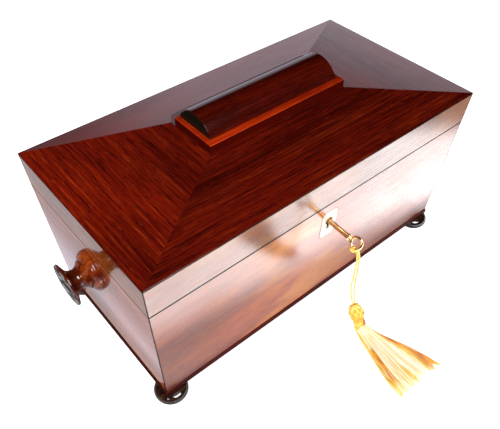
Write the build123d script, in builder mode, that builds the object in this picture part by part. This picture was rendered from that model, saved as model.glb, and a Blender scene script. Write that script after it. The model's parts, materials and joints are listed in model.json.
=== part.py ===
"""Antique sarcophagus tea caddy with turned knob handles, bun feet, a box lock, its key and a tassel.

Millimetres, +Z up. The origin is on the table, under the middle of the case. The front, with the
keyhole, faces -Y. All four sides lean outwards going up, by the same amount.
"""

import math
import os

from build123d import *

# Driving dimensions of the case and lid
EAVE_LENGTH = 320.0
EAVE_DEPTH = 163.3
TAPER = 0.058  # how far each side leans out for each millimetre of height
FOOT_HEIGHT = 11.0
MOULDING_HEIGHT = 6.5
BODY_HEIGHT = 104.0
FASCIA_HEIGHT = 28.0
ROOF_RISE = 17.0
LEDGE_HEIGHT = 7.0
BARREL_RISE = 12.0
LEDGE_LENGTH = 130.0
LEDGE_DEPTH = 47.0
LEDGE_WIDTH = 4.0  # the flat shelf left around the barrel
WALL = 9.0
SEAM_GAP = 0.4
EAVE_EDGE = 1.2
ROOF_THICK = 6.5
BOARD = 6.5  # thickness of the bottom board

# Levels
Z_MOULDING = FOOT_HEIGHT
Z_BODY = Z_MOULDING + MOULDING_HEIGHT
Z_SEAM = Z_BODY + BODY_HEIGHT
Z_LID = Z_SEAM + SEAM_GAP
Z_EAVE = Z_SEAM + FASCIA_HEIGHT
Z_ROOF = Z_EAVE + ROOF_RISE
Z_LEDGE = Z_ROOF + LEDGE_HEIGHT
Z_FLOOR = Z_BODY + BOARD
LEAN = math.degrees(math.atan(TAPER))

# Lock, key and keyhole
LOCK_X = 2.0
KEY_Z = Z_EAVE - 47.5
KEY_LEAN = 30.0  # how far the bow is turned from upright
STEM_RADIUS = 2.05
STEM_LENGTH = 22.3
BOW_RADIUS = 4.6
BOW_WIRE = 1.05
BIT_REACH = 6.3
PIN_RADIUS = 1.25
PIN_CLEARANCE = 0.05
LOCK_FRONT = -3.0  # from the outer face of the front, inwards
LOCK_BACK = -8.98  # flush with the wall's inner face
LOCK_SKIN = 1.0
LOCK_HALF = 24.0
LOCK_LOW = -12.0
BOLT_LOW = 5.2
BOLT_HIGH = 8.4
LINK_OFFSET = 10.0
LINK_THICK = 2.0
BOLT_TRAVEL = 6.0
KEY_TURN = 340.0

# Hinges
HINGE_X = 95.0
HINGE_LENGTH = 42.0
KNUCKLE_RADIUS = 2.3
KNUCKLES = 5
HINGE_PIN = 1.0
LEAF_THICK = 1.0

# Inside
PARTITION_X = 48.0
PARTITION_THICK = 5.0
PARTITION_TOP = Z_SEAM - 8.5
LINING_TOP = Z_SEAM - 15.5
LINING_THICK = 3.5
TEA_LID_THICK = 4.0
WELL_TOP = Z_SEAM - 13.5
WELL_THICK = 5.0
BOWL_RADIUS = 40.0

# Handles
HANDLE_Z = Z_EAVE - 55.8

# Tassel
CORD_RADIUS = 0.7

os.makedirs("parts", exist_ok=True)


def half_length(z):
    """Half the length of the case's outside at height z."""
    return EAVE_LENGTH / 2 - TAPER * (Z_EAVE - z)


def half_depth(z):
    """Half the depth of the case's outside at height z."""
    return EAVE_DEPTH / 2 - TAPER * (Z_EAVE - z)


def write(piece, name):
    """Label a finished piece and write it to its own file."""
    piece.part.label = name
    export_step(piece.part, f"parts/{name}.step")


def sloped_profile(half, low, high, inset, thick):
    """Cross-section of a leaning board: its outer face is inset from the case's outside."""
    outer_low, outer_high = half(low) - inset, half(high) - inset
    return [(outer_low, low), (outer_high, high), (outer_high - thick, high), (outer_low - thick, low)]


def mitred_board(side, profile, run=(1.0, 1.0), ends=(-1, 1)):
    """A board along one side of the box, cut at its ends on the corners' vertical mitre planes.

    profile holds (distance out from the centre, height) points. run is the mitre's direction in plan.
    """
    long_side = side in ("front", "back")
    sign = -1 if side in ("front", "left") else 1
    with BuildSketch(Plane.YZ if long_side else Plane.XZ) as section:
        with BuildLine():
            Polyline([(sign * out, z) for out, z in profile], close=True)
        make_face()
    extrude(section.sketch, amount=EAVE_LENGTH, both=True)
    for other in ends:
        sx, sy = (other, sign) if long_side else (sign, other)
        inward = (-sx * run[1], sy * run[0], 0)
        normal = inward if long_side else tuple(-part for part in inward)
        split(bisect_by=Plane(origin=(sx * EAVE_LENGTH / 2, sy * EAVE_DEPTH / 2, 0), z_dir=normal))


def block(low, high, mode=Mode.ADD):
    """A box between two opposite corners."""
    size = [b - a for a, b in zip(low, high)]
    with Locations(tuple((a + b) / 2 for a, b in zip(low, high))):
        Box(*size, mode=mode)


def turned(plane, points, mode=Mode.ADD):
    """A solid turned about the plane's Z axis from (radius, height) points joined by lines."""
    with BuildSketch(Plane(origin=plane.origin, x_dir=plane.x_dir, z_dir=-plane.y_dir)) as outline:
        with BuildLine():
            Polyline(points, close=True)
        make_face()
    revolve(outline.sketch, axis=Axis(plane.origin, plane.z_dir), mode=mode)


# The lock's own plane: its origin is where the key's axis meets the front, +Z is out of the front
lean = math.radians(LEAN)
lock_plane = Plane(
    origin=(LOCK_X, -half_depth(KEY_Z), KEY_Z),
    x_dir=(1, 0, 0),
    z_dir=(0, -math.cos(lean), -math.sin(lean)),
)
SEAM_V = (Z_SEAM - KEY_Z) / math.cos(lean)


def lock_box(low, high, mode=Mode.ADD):
    """A box in the lock's plane, between two opposite corners."""
    size = [b - a for a, b in zip(low, high)]
    middle = [(a + b) / 2 for a, b in zip(low, high)]
    with Locations(lock_plane):
        with Locations(tuple(middle)):
            Box(*size, mode=mode)


def keyhole(hole_radius, slot_half, slot_reach, low, high):
    """Cut a keyhole, a round hole with a slot below it, between two depths from the front."""
    with BuildSketch(lock_plane.offset(low)) as outline:
        Circle(hole_radius)
        with Locations((0, -slot_reach / 2)):
            Rectangle(2 * slot_half, slot_reach)
    extrude(outline.sketch, amount=high - low, mode=Mode.SUBTRACT)


def screw(plane, shank, length, head, head_height, mode=Mode.ADD):
    """A countersunk wood screw, its head flush with the plane and its shank going below it."""
    turned(
        plane,
        [(0, 0), (head, 0), (shank, -head_height), (shank, -length * 0.7), (0, -length)],
        mode,
    )


# Screws: six in each set of hinge leaves, four in the lock and two in the link plate
HINGE_Y = half_depth(Z_SEAM) + KNUCKLE_RADIUS + 0.2
HINGE_Z = Z_SEAM + SEAM_GAP / 2
LEAF_BACK = half_depth(Z_SEAM)
LEAF_FRONT = LEAF_BACK - 7.5
SCREW_Y = (LEAF_BACK + LEAF_FRONT) / 2
screw_places = [sx * HINGE_X + dx for sx in (-1, 1) for dx in (-14.0, 0.0, 14.0)]

with BuildPart() as case_hinge_screws:
    for x in screw_places:
        screw(Plane(origin=(x, SCREW_Y, Z_SEAM)), 0.9, 9.0, 1.8, 0.9)
write(case_hinge_screws, "case_hinge_screws")

with BuildPart() as lid_hinge_screws:
    for x in screw_places:
        screw(Plane(origin=(x, SCREW_Y, Z_LID), z_dir=(0, 0, -1)), 0.9, 9.0, 1.8, 0.9)
write(lid_hinge_screws, "lid_hinge_screws")


def leaf(z_low, own, side):
    """One hinge leaf with its own knuckles: a plate let into the wall's edge and rolled round the pin."""
    start = side * HINGE_X - HINGE_LENGTH / 2
    step = HINGE_LENGTH / KNUCKLES
    block((start, LEAF_FRONT, z_low), (start + HINGE_LENGTH, LEAF_BACK, z_low + LEAF_THICK))
    for index in own:
        low, high = start + index * step + 0.1, start + (index + 1) * step - 0.1
        block((low, LEAF_BACK, z_low), (high, HINGE_Y, z_low + LEAF_THICK))
        with BuildSketch(Plane.YZ.offset(low)) as knuckle:
            with Locations((HINGE_Y, HINGE_Z)):
                Circle(KNUCKLE_RADIUS)
        extrude(knuckle.sketch, amount=high - low)
    with BuildSketch(Plane.YZ.offset(start)) as bore:
        with Locations((HINGE_Y, HINGE_Z)):
            Circle(HINGE_PIN + PIN_CLEARANCE)
    extrude(bore.sketch, amount=HINGE_LENGTH, mode=Mode.SUBTRACT)


for side, place in ((-1, "left"), (1, "right")):
    with BuildPart() as case_leaf:
        leaf(Z_SEAM - LEAF_THICK, (0, 2, 4), side)
        add(case_hinge_screws.part, mode=Mode.SUBTRACT)
    write(case_leaf, f"{place}_hinge_case_leaf")

    with BuildPart() as lid_leaf:
        leaf(Z_LID, (1, 3), side)
        add(lid_hinge_screws.part, mode=Mode.SUBTRACT)
    write(lid_leaf, f"{place}_hinge_lid_leaf")

with BuildPart() as hinge_pins:
    for side in (-1, 1):
        with BuildSketch(Plane.YZ.offset(side * HINGE_X - HINGE_LENGTH / 2)):
            with Locations((HINGE_Y, HINGE_Z)):
                Circle(HINGE_PIN)
        extrude(amount=HINGE_LENGTH)
write(hinge_pins, "hinge_pins")


def leaf_recesses(z_low):
    """Cut the places in a wall's edge where the hinge leaves lie."""
    for side in (-1, 1):
        start = side * HINGE_X - HINGE_LENGTH / 2
        block(
            (start, LEAF_FRONT, z_low),
            (start + HINGE_LENGTH, LEAF_BACK + 1, z_low + LEAF_THICK),
            Mode.SUBTRACT,
        )


# The lock: a brass case let into the front, with its top plate flush with the seam
CAVITY_LOW = LOCK_BACK + LOCK_SKIN
CAVITY_HIGH = LOCK_FRONT - LOCK_SKIN
SELVEDGE_HALF = 29.0
SELVEDGE_THICK = 1.6
SELVEDGE_FRONT = -half_depth(Z_SEAM) + 1.6
SELVEDGE_BACK = -half_depth(Z_SEAM) + WALL
BOLT_BACK, BOLT_FRONT = CAVITY_LOW + 0.1, CAVITY_HIGH - 0.1
LINK_BACK, LINK_FRONT = -7.2, -4.8
POST_TOP = 12.6
KEY_WELL = 7.4
link_places = (-LINK_OFFSET, LINK_OFFSET)
lock_screw_places = [(u, v) for u in (-22.0, 22.0) for v in (-9.5, 14.0)]

with BuildPart() as lock_screws:
    for u, v in lock_screw_places:
        place = Plane(
            origin=lock_plane.from_local_coords(Vector(u, v, LOCK_BACK)),
            x_dir=(1, 0, 0),
            z_dir=-lock_plane.z_dir,
        )
        screw(place, 0.8, WALL - 0.8, 1.5, 0.8)
write(lock_screws, "lock_screws")

with BuildPart() as lock_pin:
    with BuildSketch(lock_plane.offset(LOCK_BACK)):
        Circle(PIN_RADIUS)
    extrude(amount=8.0)
write(lock_pin, "lock_pin")

with BuildPart() as lock_case:
    lock_box((-LOCK_HALF, LOCK_LOW, LOCK_BACK), (LOCK_HALF, SEAM_V - 1.0, LOCK_FRONT))
    block(
        (LOCK_X - SELVEDGE_HALF, SELVEDGE_FRONT, Z_SEAM - SELVEDGE_THICK),
        (LOCK_X + SELVEDGE_HALF, SELVEDGE_BACK, Z_SEAM),
    )
    lock_box(
        (-19.8, BOLT_LOW - 0.1, CAVITY_LOW), (19.8, POST_TOP + 0.1, CAVITY_HIGH), Mode.SUBTRACT
    )
    lock_box((-KEY_WELL, -8.0, CAVITY_LOW), (KEY_WELL, BOLT_LOW, CAVITY_HIGH), Mode.SUBTRACT)
    for u in link_places:
        lock_box(
            (u - LINK_THICK / 2 - 0.4, BOLT_HIGH + 0.1, CAVITY_LOW),
            (u + LINK_THICK / 2 + 0.4, SEAM_V + 3, CAVITY_HIGH),
            Mode.SUBTRACT,
        )
    keyhole(2.9, 1.3, 7.2, CAVITY_HIGH - 0.1, 0)
    add(lock_pin.part, mode=Mode.SUBTRACT)
    add(lock_screws.part, mode=Mode.SUBTRACT)
write(lock_case, "lock_case")

# The bolt: a bar with a notch for the key's bit, and two fingers that slide into the links
FINGER_TIP = LINK_OFFSET - LINK_THICK / 2 - 0.4
POST_WIDTH = 1.6
NOTCH_CENTRE = -BOLT_TRAVEL * (180.0 - KEY_LEAN) / KEY_TURN
NOTCH_HALF = 4.6
with BuildPart() as lock_bolt:
    tips = (FINGER_TIP - 2 * LINK_OFFSET, FINGER_TIP)
    lock_box(
        (tips[0] - BOLT_TRAVEL - POST_WIDTH, BOLT_LOW, BOLT_BACK), (12.0, BOLT_HIGH, BOLT_FRONT)
    )
    for tip in tips:
        root = tip - BOLT_TRAVEL
        lock_box((root - POST_WIDTH, BOLT_HIGH - 0.5, BOLT_BACK), (root, POST_TOP, BOLT_FRONT))
        lock_box((root - POST_WIDTH / 2, 10.4, -6.5), (tip, POST_TOP, -5.5))
    lock_box(
        (NOTCH_CENTRE - NOTCH_HALF, BOLT_LOW - 1, BOLT_BACK - 1),
        (NOTCH_CENTRE + NOTCH_HALF, BIT_REACH + 0.4, BOLT_FRONT + 1),
        Mode.SUBTRACT,
    )
write(lock_bolt, "lock_bolt")

# A bent leaf spring between the roof of the lock and the bolt steadies the bolt
with BuildPart() as lock_spring:
    with BuildSketch(lock_plane.offset(-7.0)):
        with BuildLine():
            Polyline(
                (-5.0, POST_TOP + 0.1), (0.4, POST_TOP + 0.1), (0.4, 12.2), (-4.2, 12.2), (-1.0, 9.1),
                (0.2, 9.8), (0.45, 9.35), (-1.1, BOLT_HIGH + 0.1), (-5.0, 12.2), close=True
            )
        make_face()
    extrude(amount=2.0)
write(lock_spring, "lock_spring")

# The link plate in the lid, with two links that hang into the lock
with BuildPart() as link_plate_screws:
    for dx in (-23.0, 23.0):
        middle_y = -half_depth(Z_LID) + 5.5
        screw(Plane(origin=(LOCK_X + dx, middle_y, Z_LID), z_dir=(0, 0, -1)), 0.9, 9.0, 1.8, 0.9)
write(link_plate_screws, "link_plate_screws")

LINK_PLATE_THICK = 1.2
with BuildPart() as link_plate:
    block(
        (LOCK_X - SELVEDGE_HALF, SELVEDGE_FRONT, Z_LID),
        (LOCK_X + SELVEDGE_HALF, SELVEDGE_BACK - 0.4, Z_LID + LINK_PLATE_THICK),
    )
    for u in link_places:
        lock_box((u - LINK_THICK / 2, 8.9, LINK_BACK), (u + LINK_THICK / 2, SEAM_V + 1.0, LINK_FRONT))
        lock_box((u - LINK_THICK, 10.0, -6.7), (u + LINK_THICK, 13.2, -5.3), Mode.SUBTRACT)
    add(link_plate_screws.part, mode=Mode.SUBTRACT)
write(link_plate, "link_plate")

# The escutcheon: an upright bone plate with cut corners, inlaid round the keyhole
ESCUTCHEON_WIDTH = 17.0
ESCUTCHEON_HEIGHT = 28.5
ESCUTCHEON_DROP = -2.8
INLAY = 1.0
with BuildPart() as escutcheon:
    with BuildSketch(lock_plane.offset(-INLAY)):
        with Locations((0, ESCUTCHEON_DROP)):
            Rectangle(ESCUTCHEON_WIDTH, ESCUTCHEON_HEIGHT)
        chamfer(vertices(), length=3.0)
    extrude(amount=INLAY + 0.1)
    keyhole(3.8, 1.6, 9.0, -INLAY, 1)
write(escutcheon, "escutcheon")

# The case's four walls, mitred at the corners
half_of = {"front": half_depth, "back": half_depth, "left": half_length, "right": half_length}
wall_profile = {side: sloped_profile(half, Z_BODY, Z_SEAM, 0, WALL) for side, half in half_of.items()}

with BuildPart() as front_panel:
    mitred_board("front", wall_profile["front"])
    lock_box((-LOCK_HALF, LOCK_LOW, LOCK_BACK - 1), (LOCK_HALF, SEAM_V + 2, LOCK_FRONT), Mode.SUBTRACT)
    block(
        (LOCK_X - SELVEDGE_HALF, SELVEDGE_FRONT, Z_SEAM - SELVEDGE_THICK),
        (LOCK_X + SELVEDGE_HALF, SELVEDGE_BACK + 1, Z_SEAM + 1),
        Mode.SUBTRACT,
    )
    with BuildSketch(lock_plane.offset(-INLAY)):
        with Locations((0, ESCUTCHEON_DROP)):
            Rectangle(ESCUTCHEON_WIDTH, ESCUTCHEON_HEIGHT)
        chamfer(vertices(), length=3.0)
    extrude(amount=2, mode=Mode.SUBTRACT)
    keyhole(3.8, 1.6, 9.0, LOCK_FRONT - 1, 1)
    add(lock_screws.part, mode=Mode.SUBTRACT)
write(front_panel, "front_panel")

with BuildPart() as back_panel:
    mitred_board("back", wall_profile["back"])
    leaf_recesses(Z_SEAM - LEAF_THICK)
    add(case_hinge_screws.part, mode=Mode.SUBTRACT)
write(back_panel, "back_panel")

# The turned handles: a bulging flange against the end, a hollow neck and a wide disc
handle_tenon = 4.5


def handle_plane(side):
    """The plane on an end's outer face at the middle of its handle, +Z out of the end."""
    return Plane(
        origin=(side * half_length(HANDLE_Z), 0, HANDLE_Z),
        x_dir=(0, side, 0),
        z_dir=(side * math.cos(lean), 0, -math.sin(lean)),
    )


for side, place in ((-1, "left"), (1, "right")):
    plane = handle_plane(side)
    with BuildPart() as end_panel:
        mitred_board(place, wall_profile[place])
        with BuildSketch(plane.offset(-6.0)):
            Circle(handle_tenon)
        extrude(amount=10, mode=Mode.SUBTRACT)
    write(end_panel, f"{place}_panel")

    with BuildPart() as handle_knob:
        with BuildSketch(Plane(origin=plane.origin, x_dir=plane.x_dir, z_dir=-plane.y_dir)):
            with BuildLine():
                Polyline((0, -6.0), (handle_tenon, -6.0), (handle_tenon, 0), (16.2, 0))
                ThreePointArc((16.2, 0), (15.7, 3.6), (12.6, 6.2))
                Polyline((12.6, 6.2), (11.3, 6.4), (11.6, 7.4), (10.8, 8.2))
                ThreePointArc((10.8, 8.2), (8.0, 12.6), (10.4, 17.4))
                Line((10.4, 17.4), (15.6, 19.4))
                ThreePointArc((15.6, 19.4), (16.8, 20.6), (15.6, 21.7))
                ThreePointArc((15.6, 21.7), (8.0, 22.7), (1.0, 23.0))
                Polyline((1.0, 23.0), (0, 23.0), (0, -6.0))
            make_face()
        revolve(axis=Axis(plane.origin, plane.z_dir))
    write(handle_knob, f"{place}_handle_knob")

# The bottom board lies between the walls
with BuildPart() as bottom_board:
    with BuildSketch(Plane.XY.offset(Z_BODY)):
        Rectangle(2 * (half_length(Z_BODY) - WALL), 2 * (half_depth(Z_BODY) - WALL))
    with BuildSketch(Plane.XY.offset(Z_FLOOR)):
        Rectangle(2 * (half_length(Z_FLOOR) - WALL), 2 * (half_depth(Z_FLOOR) - WALL))
    loft(ruled=True)
write(bottom_board, "bottom_board")

# The base moulding: four mitred strips with a rounded nose, standing a little proud
MOULDING_PROUD = 0.8
MOULDING_WIDTH = 22.0
NOSE = 2.0
for side, half in half_of.items():
    sign = -1 if side in ("front", "left") else 1
    edge = half(Z_BODY) + MOULDING_PROUD
    with BuildPart() as moulding:
        back_edge = edge - MOULDING_WIDTH
        mitred_board(
            side, [(edge, Z_MOULDING), (edge, Z_BODY), (back_edge, Z_BODY), (back_edge, Z_MOULDING)]
        )
        along, across = (Axis.X, Axis.Y) if side in ("front", "back") else (Axis.Y, Axis.X)
        outer = moulding.faces().sort_by(across)[0 if sign < 0 else -1]
        fillet(outer.edges().filter_by(along), radius=NOSE)
    write(moulding, f"{side}_moulding")

# The bun feet, set close in to the corners
FOOT_RADIUS = 13.3
FOOT_INSET = (7.6, 6.6)
corners = ((-1, -1, "front_left"), (1, -1, "front_right"), (-1, 1, "back_left"), (1, 1, "back_right"))
for sx, sy, place in corners:
    x = sx * (half_length(Z_BODY) - FOOT_INSET[0])
    y = sy * (half_depth(Z_BODY) - FOOT_INSET[1])
    with BuildPart() as foot:
        with BuildSketch(Plane(origin=(x, y, 0), x_dir=(1, 0, 0), z_dir=(0, -1, 0))):
            with BuildLine():
                Line((0, 0), (9.2, 0))
                ThreePointArc((9.2, 0), (FOOT_RADIUS, 4.9), (9.2, 9.8))
                Polyline((9.2, 9.8), (8.8, 9.8), (8.8, FOOT_HEIGHT), (0, FOOT_HEIGHT), (0, 0))
            make_face()
        revolve(axis=Axis((x, y, 0), (0, 0, 1)))
    write(foot, f"{place}_foot")

# The lip: thin strips inside the rim that stand up into the lid, broken at the lock
LIP_THICK = 2.5
LIP_LOW = Z_SEAM - 8.4
LIP_HIGH = Z_SEAM + 3.0
LIP_CLEAR = 0.4
for side in ("front", "left", "right"):
    half = half_of[side]
    low, seam = half(LIP_LOW) - WALL, half(Z_SEAM) - WALL
    profile = [
        (low, LIP_LOW), (seam, Z_SEAM), (seam - LIP_CLEAR, Z_SEAM), (seam - LIP_CLEAR, LIP_HIGH),
        (low - LIP_THICK, LIP_HIGH), (low - LIP_THICK, LIP_LOW),
    ]
    with BuildPart() as lip:
        mitred_board(side, profile, ends=(-1, 1) if side == "front" else (-1,))
        split(bisect_by=Plane(origin=(0, half_depth(LIP_LOW) - WALL - 0.1, 0), z_dir=(0, -1, 0)))
        if side == "front":
            block(
                (LOCK_X - SELVEDGE_HALF - 0.5, -EAVE_DEPTH / 2, LIP_LOW - 1),
                (LOCK_X + SELVEDGE_HALF + 0.5, 0, LIP_HIGH + 1),
                Mode.SUBTRACT,
            )
    write(lip, f"{side}_lip")

# The partitions between the well and the tea compartments, grooved for the well's board
WELL_LOW = WELL_TOP - WELL_THICK
GROOVE = 1.5
for side, place in ((-1, "left"), (1, "right")):
    with BuildPart() as partition:
        with BuildSketch(Plane.YZ.offset(side * PARTITION_X)):
            with BuildLine():
                low, high = half_depth(Z_FLOOR) - WALL, half_depth(PARTITION_TOP) - WALL
                Polyline(
                    (-low, Z_FLOOR), (low, Z_FLOOR), (high, PARTITION_TOP), (-high, PARTITION_TOP), close=True
                )
            make_face()
        extrude(amount=PARTITION_THICK / 2, both=True)
        face_x = side * (PARTITION_X - PARTITION_THICK / 2)
        groove_x = sorted((face_x - side, face_x + side * GROOVE))
        block((groove_x[0], -EAVE_DEPTH, WELL_LOW), (groove_x[1], EAVE_DEPTH, WELL_TOP), Mode.SUBTRACT)
        fillet(partition.edges().filter_by(Axis.Y).group_by(Axis.Z)[-1], radius=1.2)
    write(partition, f"{place}_partition")

# The well's board, with the round hole that the mixing bowl hangs in
BOWL_HOLE = 37.0
with BuildPart() as well_board:
    well_half = half_depth(WELL_LOW) - WALL
    board_half = PARTITION_X - PARTITION_THICK / 2 + GROOVE
    block((-board_half, -well_half, WELL_LOW), (board_half, well_half, WELL_TOP))
    with Locations((0, 0, WELL_TOP)):
        Hole(BOWL_HOLE)
    chamfer(well_board.edges().filter_by(GeomType.CIRCLE).group_by(Axis.Z)[-1], length=0.8)
write(well_board, "well_board")

# The glass mixing bowl: it hangs by its rim and has a hollow foot ring
with BuildPart() as mixing_bowl:
    with BuildSketch(Plane.XZ):
        with BuildLine():
            Polyline((0, 49.0), (14.0, 49.0), (16.0, 46.0), (19.0, 46.0), (20.5, 49.5))
            ThreePointArc((20.5, 49.5), (32.3, 70.0), (36.4, 104.0))
            Polyline((36.4, 104.0), (36.4, WELL_TOP), (BOWL_RADIUS, WELL_TOP))
            ThreePointArc((BOWL_RADIUS, WELL_TOP), (41.0, WELL_TOP + 1.2), (BOWL_RADIUS, WELL_TOP + 2.4))
            Polyline((BOWL_RADIUS, WELL_TOP + 2.4), (34.6, WELL_TOP + 2.4), (33.9, 104.0))
            ThreePointArc((33.9, 104.0), (29.4, 71.5), (17.0, 53.0))
            Polyline((17.0, 53.0), (0, 52.0), (0, 49.0))
        make_face()
    revolve(axis=Axis.Z)
write(mixing_bowl, "mixing_bowl")


def tea_section(side, z, inset):
    """The plan of a tea compartment at height z, drawn in by inset all round."""
    near = PARTITION_X + PARTITION_THICK / 2 + inset
    far = half_length(z) - WALL - inset
    deep = half_depth(z) - WALL - inset
    with BuildSketch(Plane.XY.offset(z)) as plan:
        with Locations((side * (near + far) / 2, 0)):
            Rectangle(far - near, 2 * deep)
    return plan.sketch


# The lined tea compartments and their lift-off covers, each with a turned knob
LINING_FLOOR = 2.0
COVER_FAR = half_length(LIP_LOW) - WALL - LIP_THICK - 0.4
COVER_NEAR = PARTITION_X + PARTITION_THICK / 2 + 0.4
COVER_HALF = half_depth(LIP_LOW) - WALL - LIP_THICK - 0.4
for side, place in ((-1, "left"), (1, "right")):
    with BuildPart() as tea_lining:
        loft([tea_section(side, Z_FLOOR, 0), tea_section(side, LINING_TOP, 0)], ruled=True)
        inner = [tea_section(side, z, LINING_THICK) for z in (Z_FLOOR + LINING_FLOOR, LINING_TOP + 0.01)]
        loft(inner, ruled=True, mode=Mode.SUBTRACT)
    write(tea_lining, f"{place}_tea_lining")

    cover_x = side * (COVER_NEAR + COVER_FAR) / 2
    with BuildPart() as tea_cover:
        with BuildSketch(Plane.XY.offset(LINING_TOP)):
            with Locations((cover_x, 0)):
                Rectangle(COVER_FAR - COVER_NEAR, 2 * COVER_HALF)
        extrude(amount=TEA_LID_THICK)
        fillet(tea_cover.faces().sort_by(Axis.Z)[-1].edges(), radius=1.2)
        with Locations((cover_x, 0, LINING_TOP + TEA_LID_THICK)):
            Hole(2.0, depth=2.5)
    write(tea_cover, f"{place}_tea_cover")

    with BuildPart() as tea_knob:
        knob_plane = Plane(origin=(cover_x, 0, LINING_TOP + TEA_LID_THICK), x_dir=(1, 0, 0), z_dir=(0, -1, 0))
        with BuildSketch(knob_plane):
            with BuildLine():
                Polyline((0, -2.5), (2.0, -2.5), (2.0, 0), (5.2, 0), (5.2, 1.0))
                ThreePointArc((5.2, 1.0), (2.6, 3.0), (3.6, 5.6))
                ThreePointArc((3.6, 5.6), (4.426, 8.174), (0.8, 12.5))
                Polyline((0.8, 12.5), (0, 12.5), (0, -2.5))
            make_face()
        revolve(axis=Axis((cover_x, 0, 0), (0, 0, 1)))
    write(tea_knob, f"{place}_tea_cover_knob")

# The lid's four fascias, which carry on the lean of the walls below
lid_profile = {side: sloped_profile(half, Z_LID, Z_EAVE, 0, WALL) for side, half in half_of.items()}
for side in half_of:
    with BuildPart() as fascia:
        mitred_board(side, lid_profile[side])
        if side == "front":
            block(
                (LOCK_X - SELVEDGE_HALF, SELVEDGE_FRONT, Z_LID - 1),
                (LOCK_X + SELVEDGE_HALF, SELVEDGE_BACK + 1, Z_LID + LINK_PLATE_THICK),
                Mode.SUBTRACT,
            )
            add(link_plate_screws.part, mode=Mode.SUBTRACT)
        if side == "back":
            leaf_recesses(Z_LID)
            add(lid_hinge_screws.part, mode=Mode.SUBTRACT)
    write(fascia, f"lid_{side}_fascia")

# The roof: four sloping boards mitred along the hips, with a thin upright edge at the eave
HIP_RUN = (EAVE_LENGTH / 2 - LEDGE_LENGTH / 2, EAVE_DEPTH / 2 - LEDGE_DEPTH / 2)
for side, half in half_of.items():
    long_side = side in ("front", "back")
    out = (EAVE_DEPTH if long_side else EAVE_LENGTH) / 2
    top = (LEDGE_DEPTH if long_side else LEDGE_LENGTH) / 2
    run = out - top
    rise = Z_ROOF - Z_EAVE - EAVE_EDGE
    seat = run * (Z_ROOF - ROOF_THICK - Z_EAVE) / (rise + EAVE_EDGE / 2) * 0.98
    rest = top - run * 0.063
    profile = [
        (out, Z_EAVE), (out, Z_EAVE + EAVE_EDGE), (top, Z_ROOF), (rest, Z_ROOF),
        (rest, Z_ROOF - ROOF_THICK), (top, Z_ROOF - ROOF_THICK), (top + seat, Z_EAVE),
    ]
    with BuildPart() as roof:
        mitred_board(side, profile, run=HIP_RUN)
    write(roof, f"roof_{side}")

# The ledge block, the barrel on top of it, and the velvet-covered board inside the lid
with BuildPart() as ledge_block:
    block((-LEDGE_LENGTH / 2, -LEDGE_DEPTH / 2, Z_ROOF), (LEDGE_LENGTH / 2, LEDGE_DEPTH / 2, Z_LEDGE))
    chamfer(ledge_block.edges().filter_by(Axis.Z), length=0.4)
    chamfer(ledge_block.faces().sort_by(Axis.Z)[-1].edges(), length=0.5)
write(ledge_block, "ledge_block")

BARREL_HALF = 18.0
with BuildPart() as barrel:
    with BuildSketch(Plane.YZ.offset(-LEDGE_LENGTH / 2 + LEDGE_WIDTH)):
        with BuildLine():
            Line((-BARREL_HALF, Z_LEDGE), (BARREL_HALF, Z_LEDGE))
            ThreePointArc((BARREL_HALF, Z_LEDGE), (0, Z_LEDGE + BARREL_RISE), (-BARREL_HALF, Z_LEDGE))
        make_face()
    extrude(amount=LEDGE_LENGTH - 2 * LEDGE_WIDTH)
    ends = barrel.faces().filter_by(Axis.X)
    chamfer(ends.edges().filter_by(GeomType.CIRCLE), length=0.5)
write(barrel, "lid_barrel")

LINER_LOW = Z_EAVE - 3.5
with BuildPart() as lid_liner:
    for z in (LINER_LOW, Z_EAVE - 0.1):
        with BuildSketch(Plane.XY.offset(z)):
            Rectangle(2 * (half_length(z) - WALL), 2 * (half_depth(z) - WALL))
    loft(ruled=True)
write(lid_liner, "lid_liner")

# The key: a piped stem that turns on the lock's pin, a bit, a collar and a ring bow
KEY_TIP = -7.6
PIPE_END = -0.6
bow_angle = math.radians(KEY_LEAN)
bow_plane = Plane(
    origin=lock_plane.origin,
    x_dir=tuple(lock_plane.x_dir * math.sin(bow_angle) + lock_plane.y_dir * math.cos(bow_angle)),
    z_dir=tuple(lock_plane.x_dir * math.cos(bow_angle) - lock_plane.y_dir * math.sin(bow_angle)),
)
BOW_CENTRE = STEM_LENGTH + BOW_RADIUS + BOW_WIRE + 0.25
with BuildPart() as key:
    with BuildSketch(bow_plane):
        with BuildLine():
            Polyline(
                (0, KEY_TIP), (STEM_RADIUS, KEY_TIP), (STEM_RADIUS, STEM_LENGTH - 2.6),
                (2.7, STEM_LENGTH - 2.1), (2.7, STEM_LENGTH - 1.2), (2.1, STEM_LENGTH - 0.7),
                (1.5, STEM_LENGTH + 1.2), (0, STEM_LENGTH + 1.2), close=True
            )
        make_face()
    revolve(axis=Axis(lock_plane.origin, lock_plane.z_dir))
    bow_middle = lock_plane.from_local_coords(Vector(0, 0, BOW_CENTRE))
    with BuildSketch(Plane(origin=bow_middle, x_dir=lock_plane.z_dir, z_dir=bow_plane.x_dir)):
        with Locations((BOW_RADIUS, 0)):
            Circle(BOW_WIRE)
    revolve(axis=Axis(bow_middle, bow_plane.z_dir))
    with BuildSketch(bow_plane):
        with BuildLine():
            Polyline((-1, -7.0), (-BIT_REACH, -7.0), (-BIT_REACH, -4.5), (-1, -4.5), close=True)
        make_face()
    extrude(amount=0.85, both=True)
    with BuildSketch(lock_plane.offset(KEY_TIP)):
        Circle(PIN_RADIUS + PIN_CLEARANCE)
    extrude(amount=PIPE_END - KEY_TIP, mode=Mode.SUBTRACT)
write(key, "key")

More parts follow.
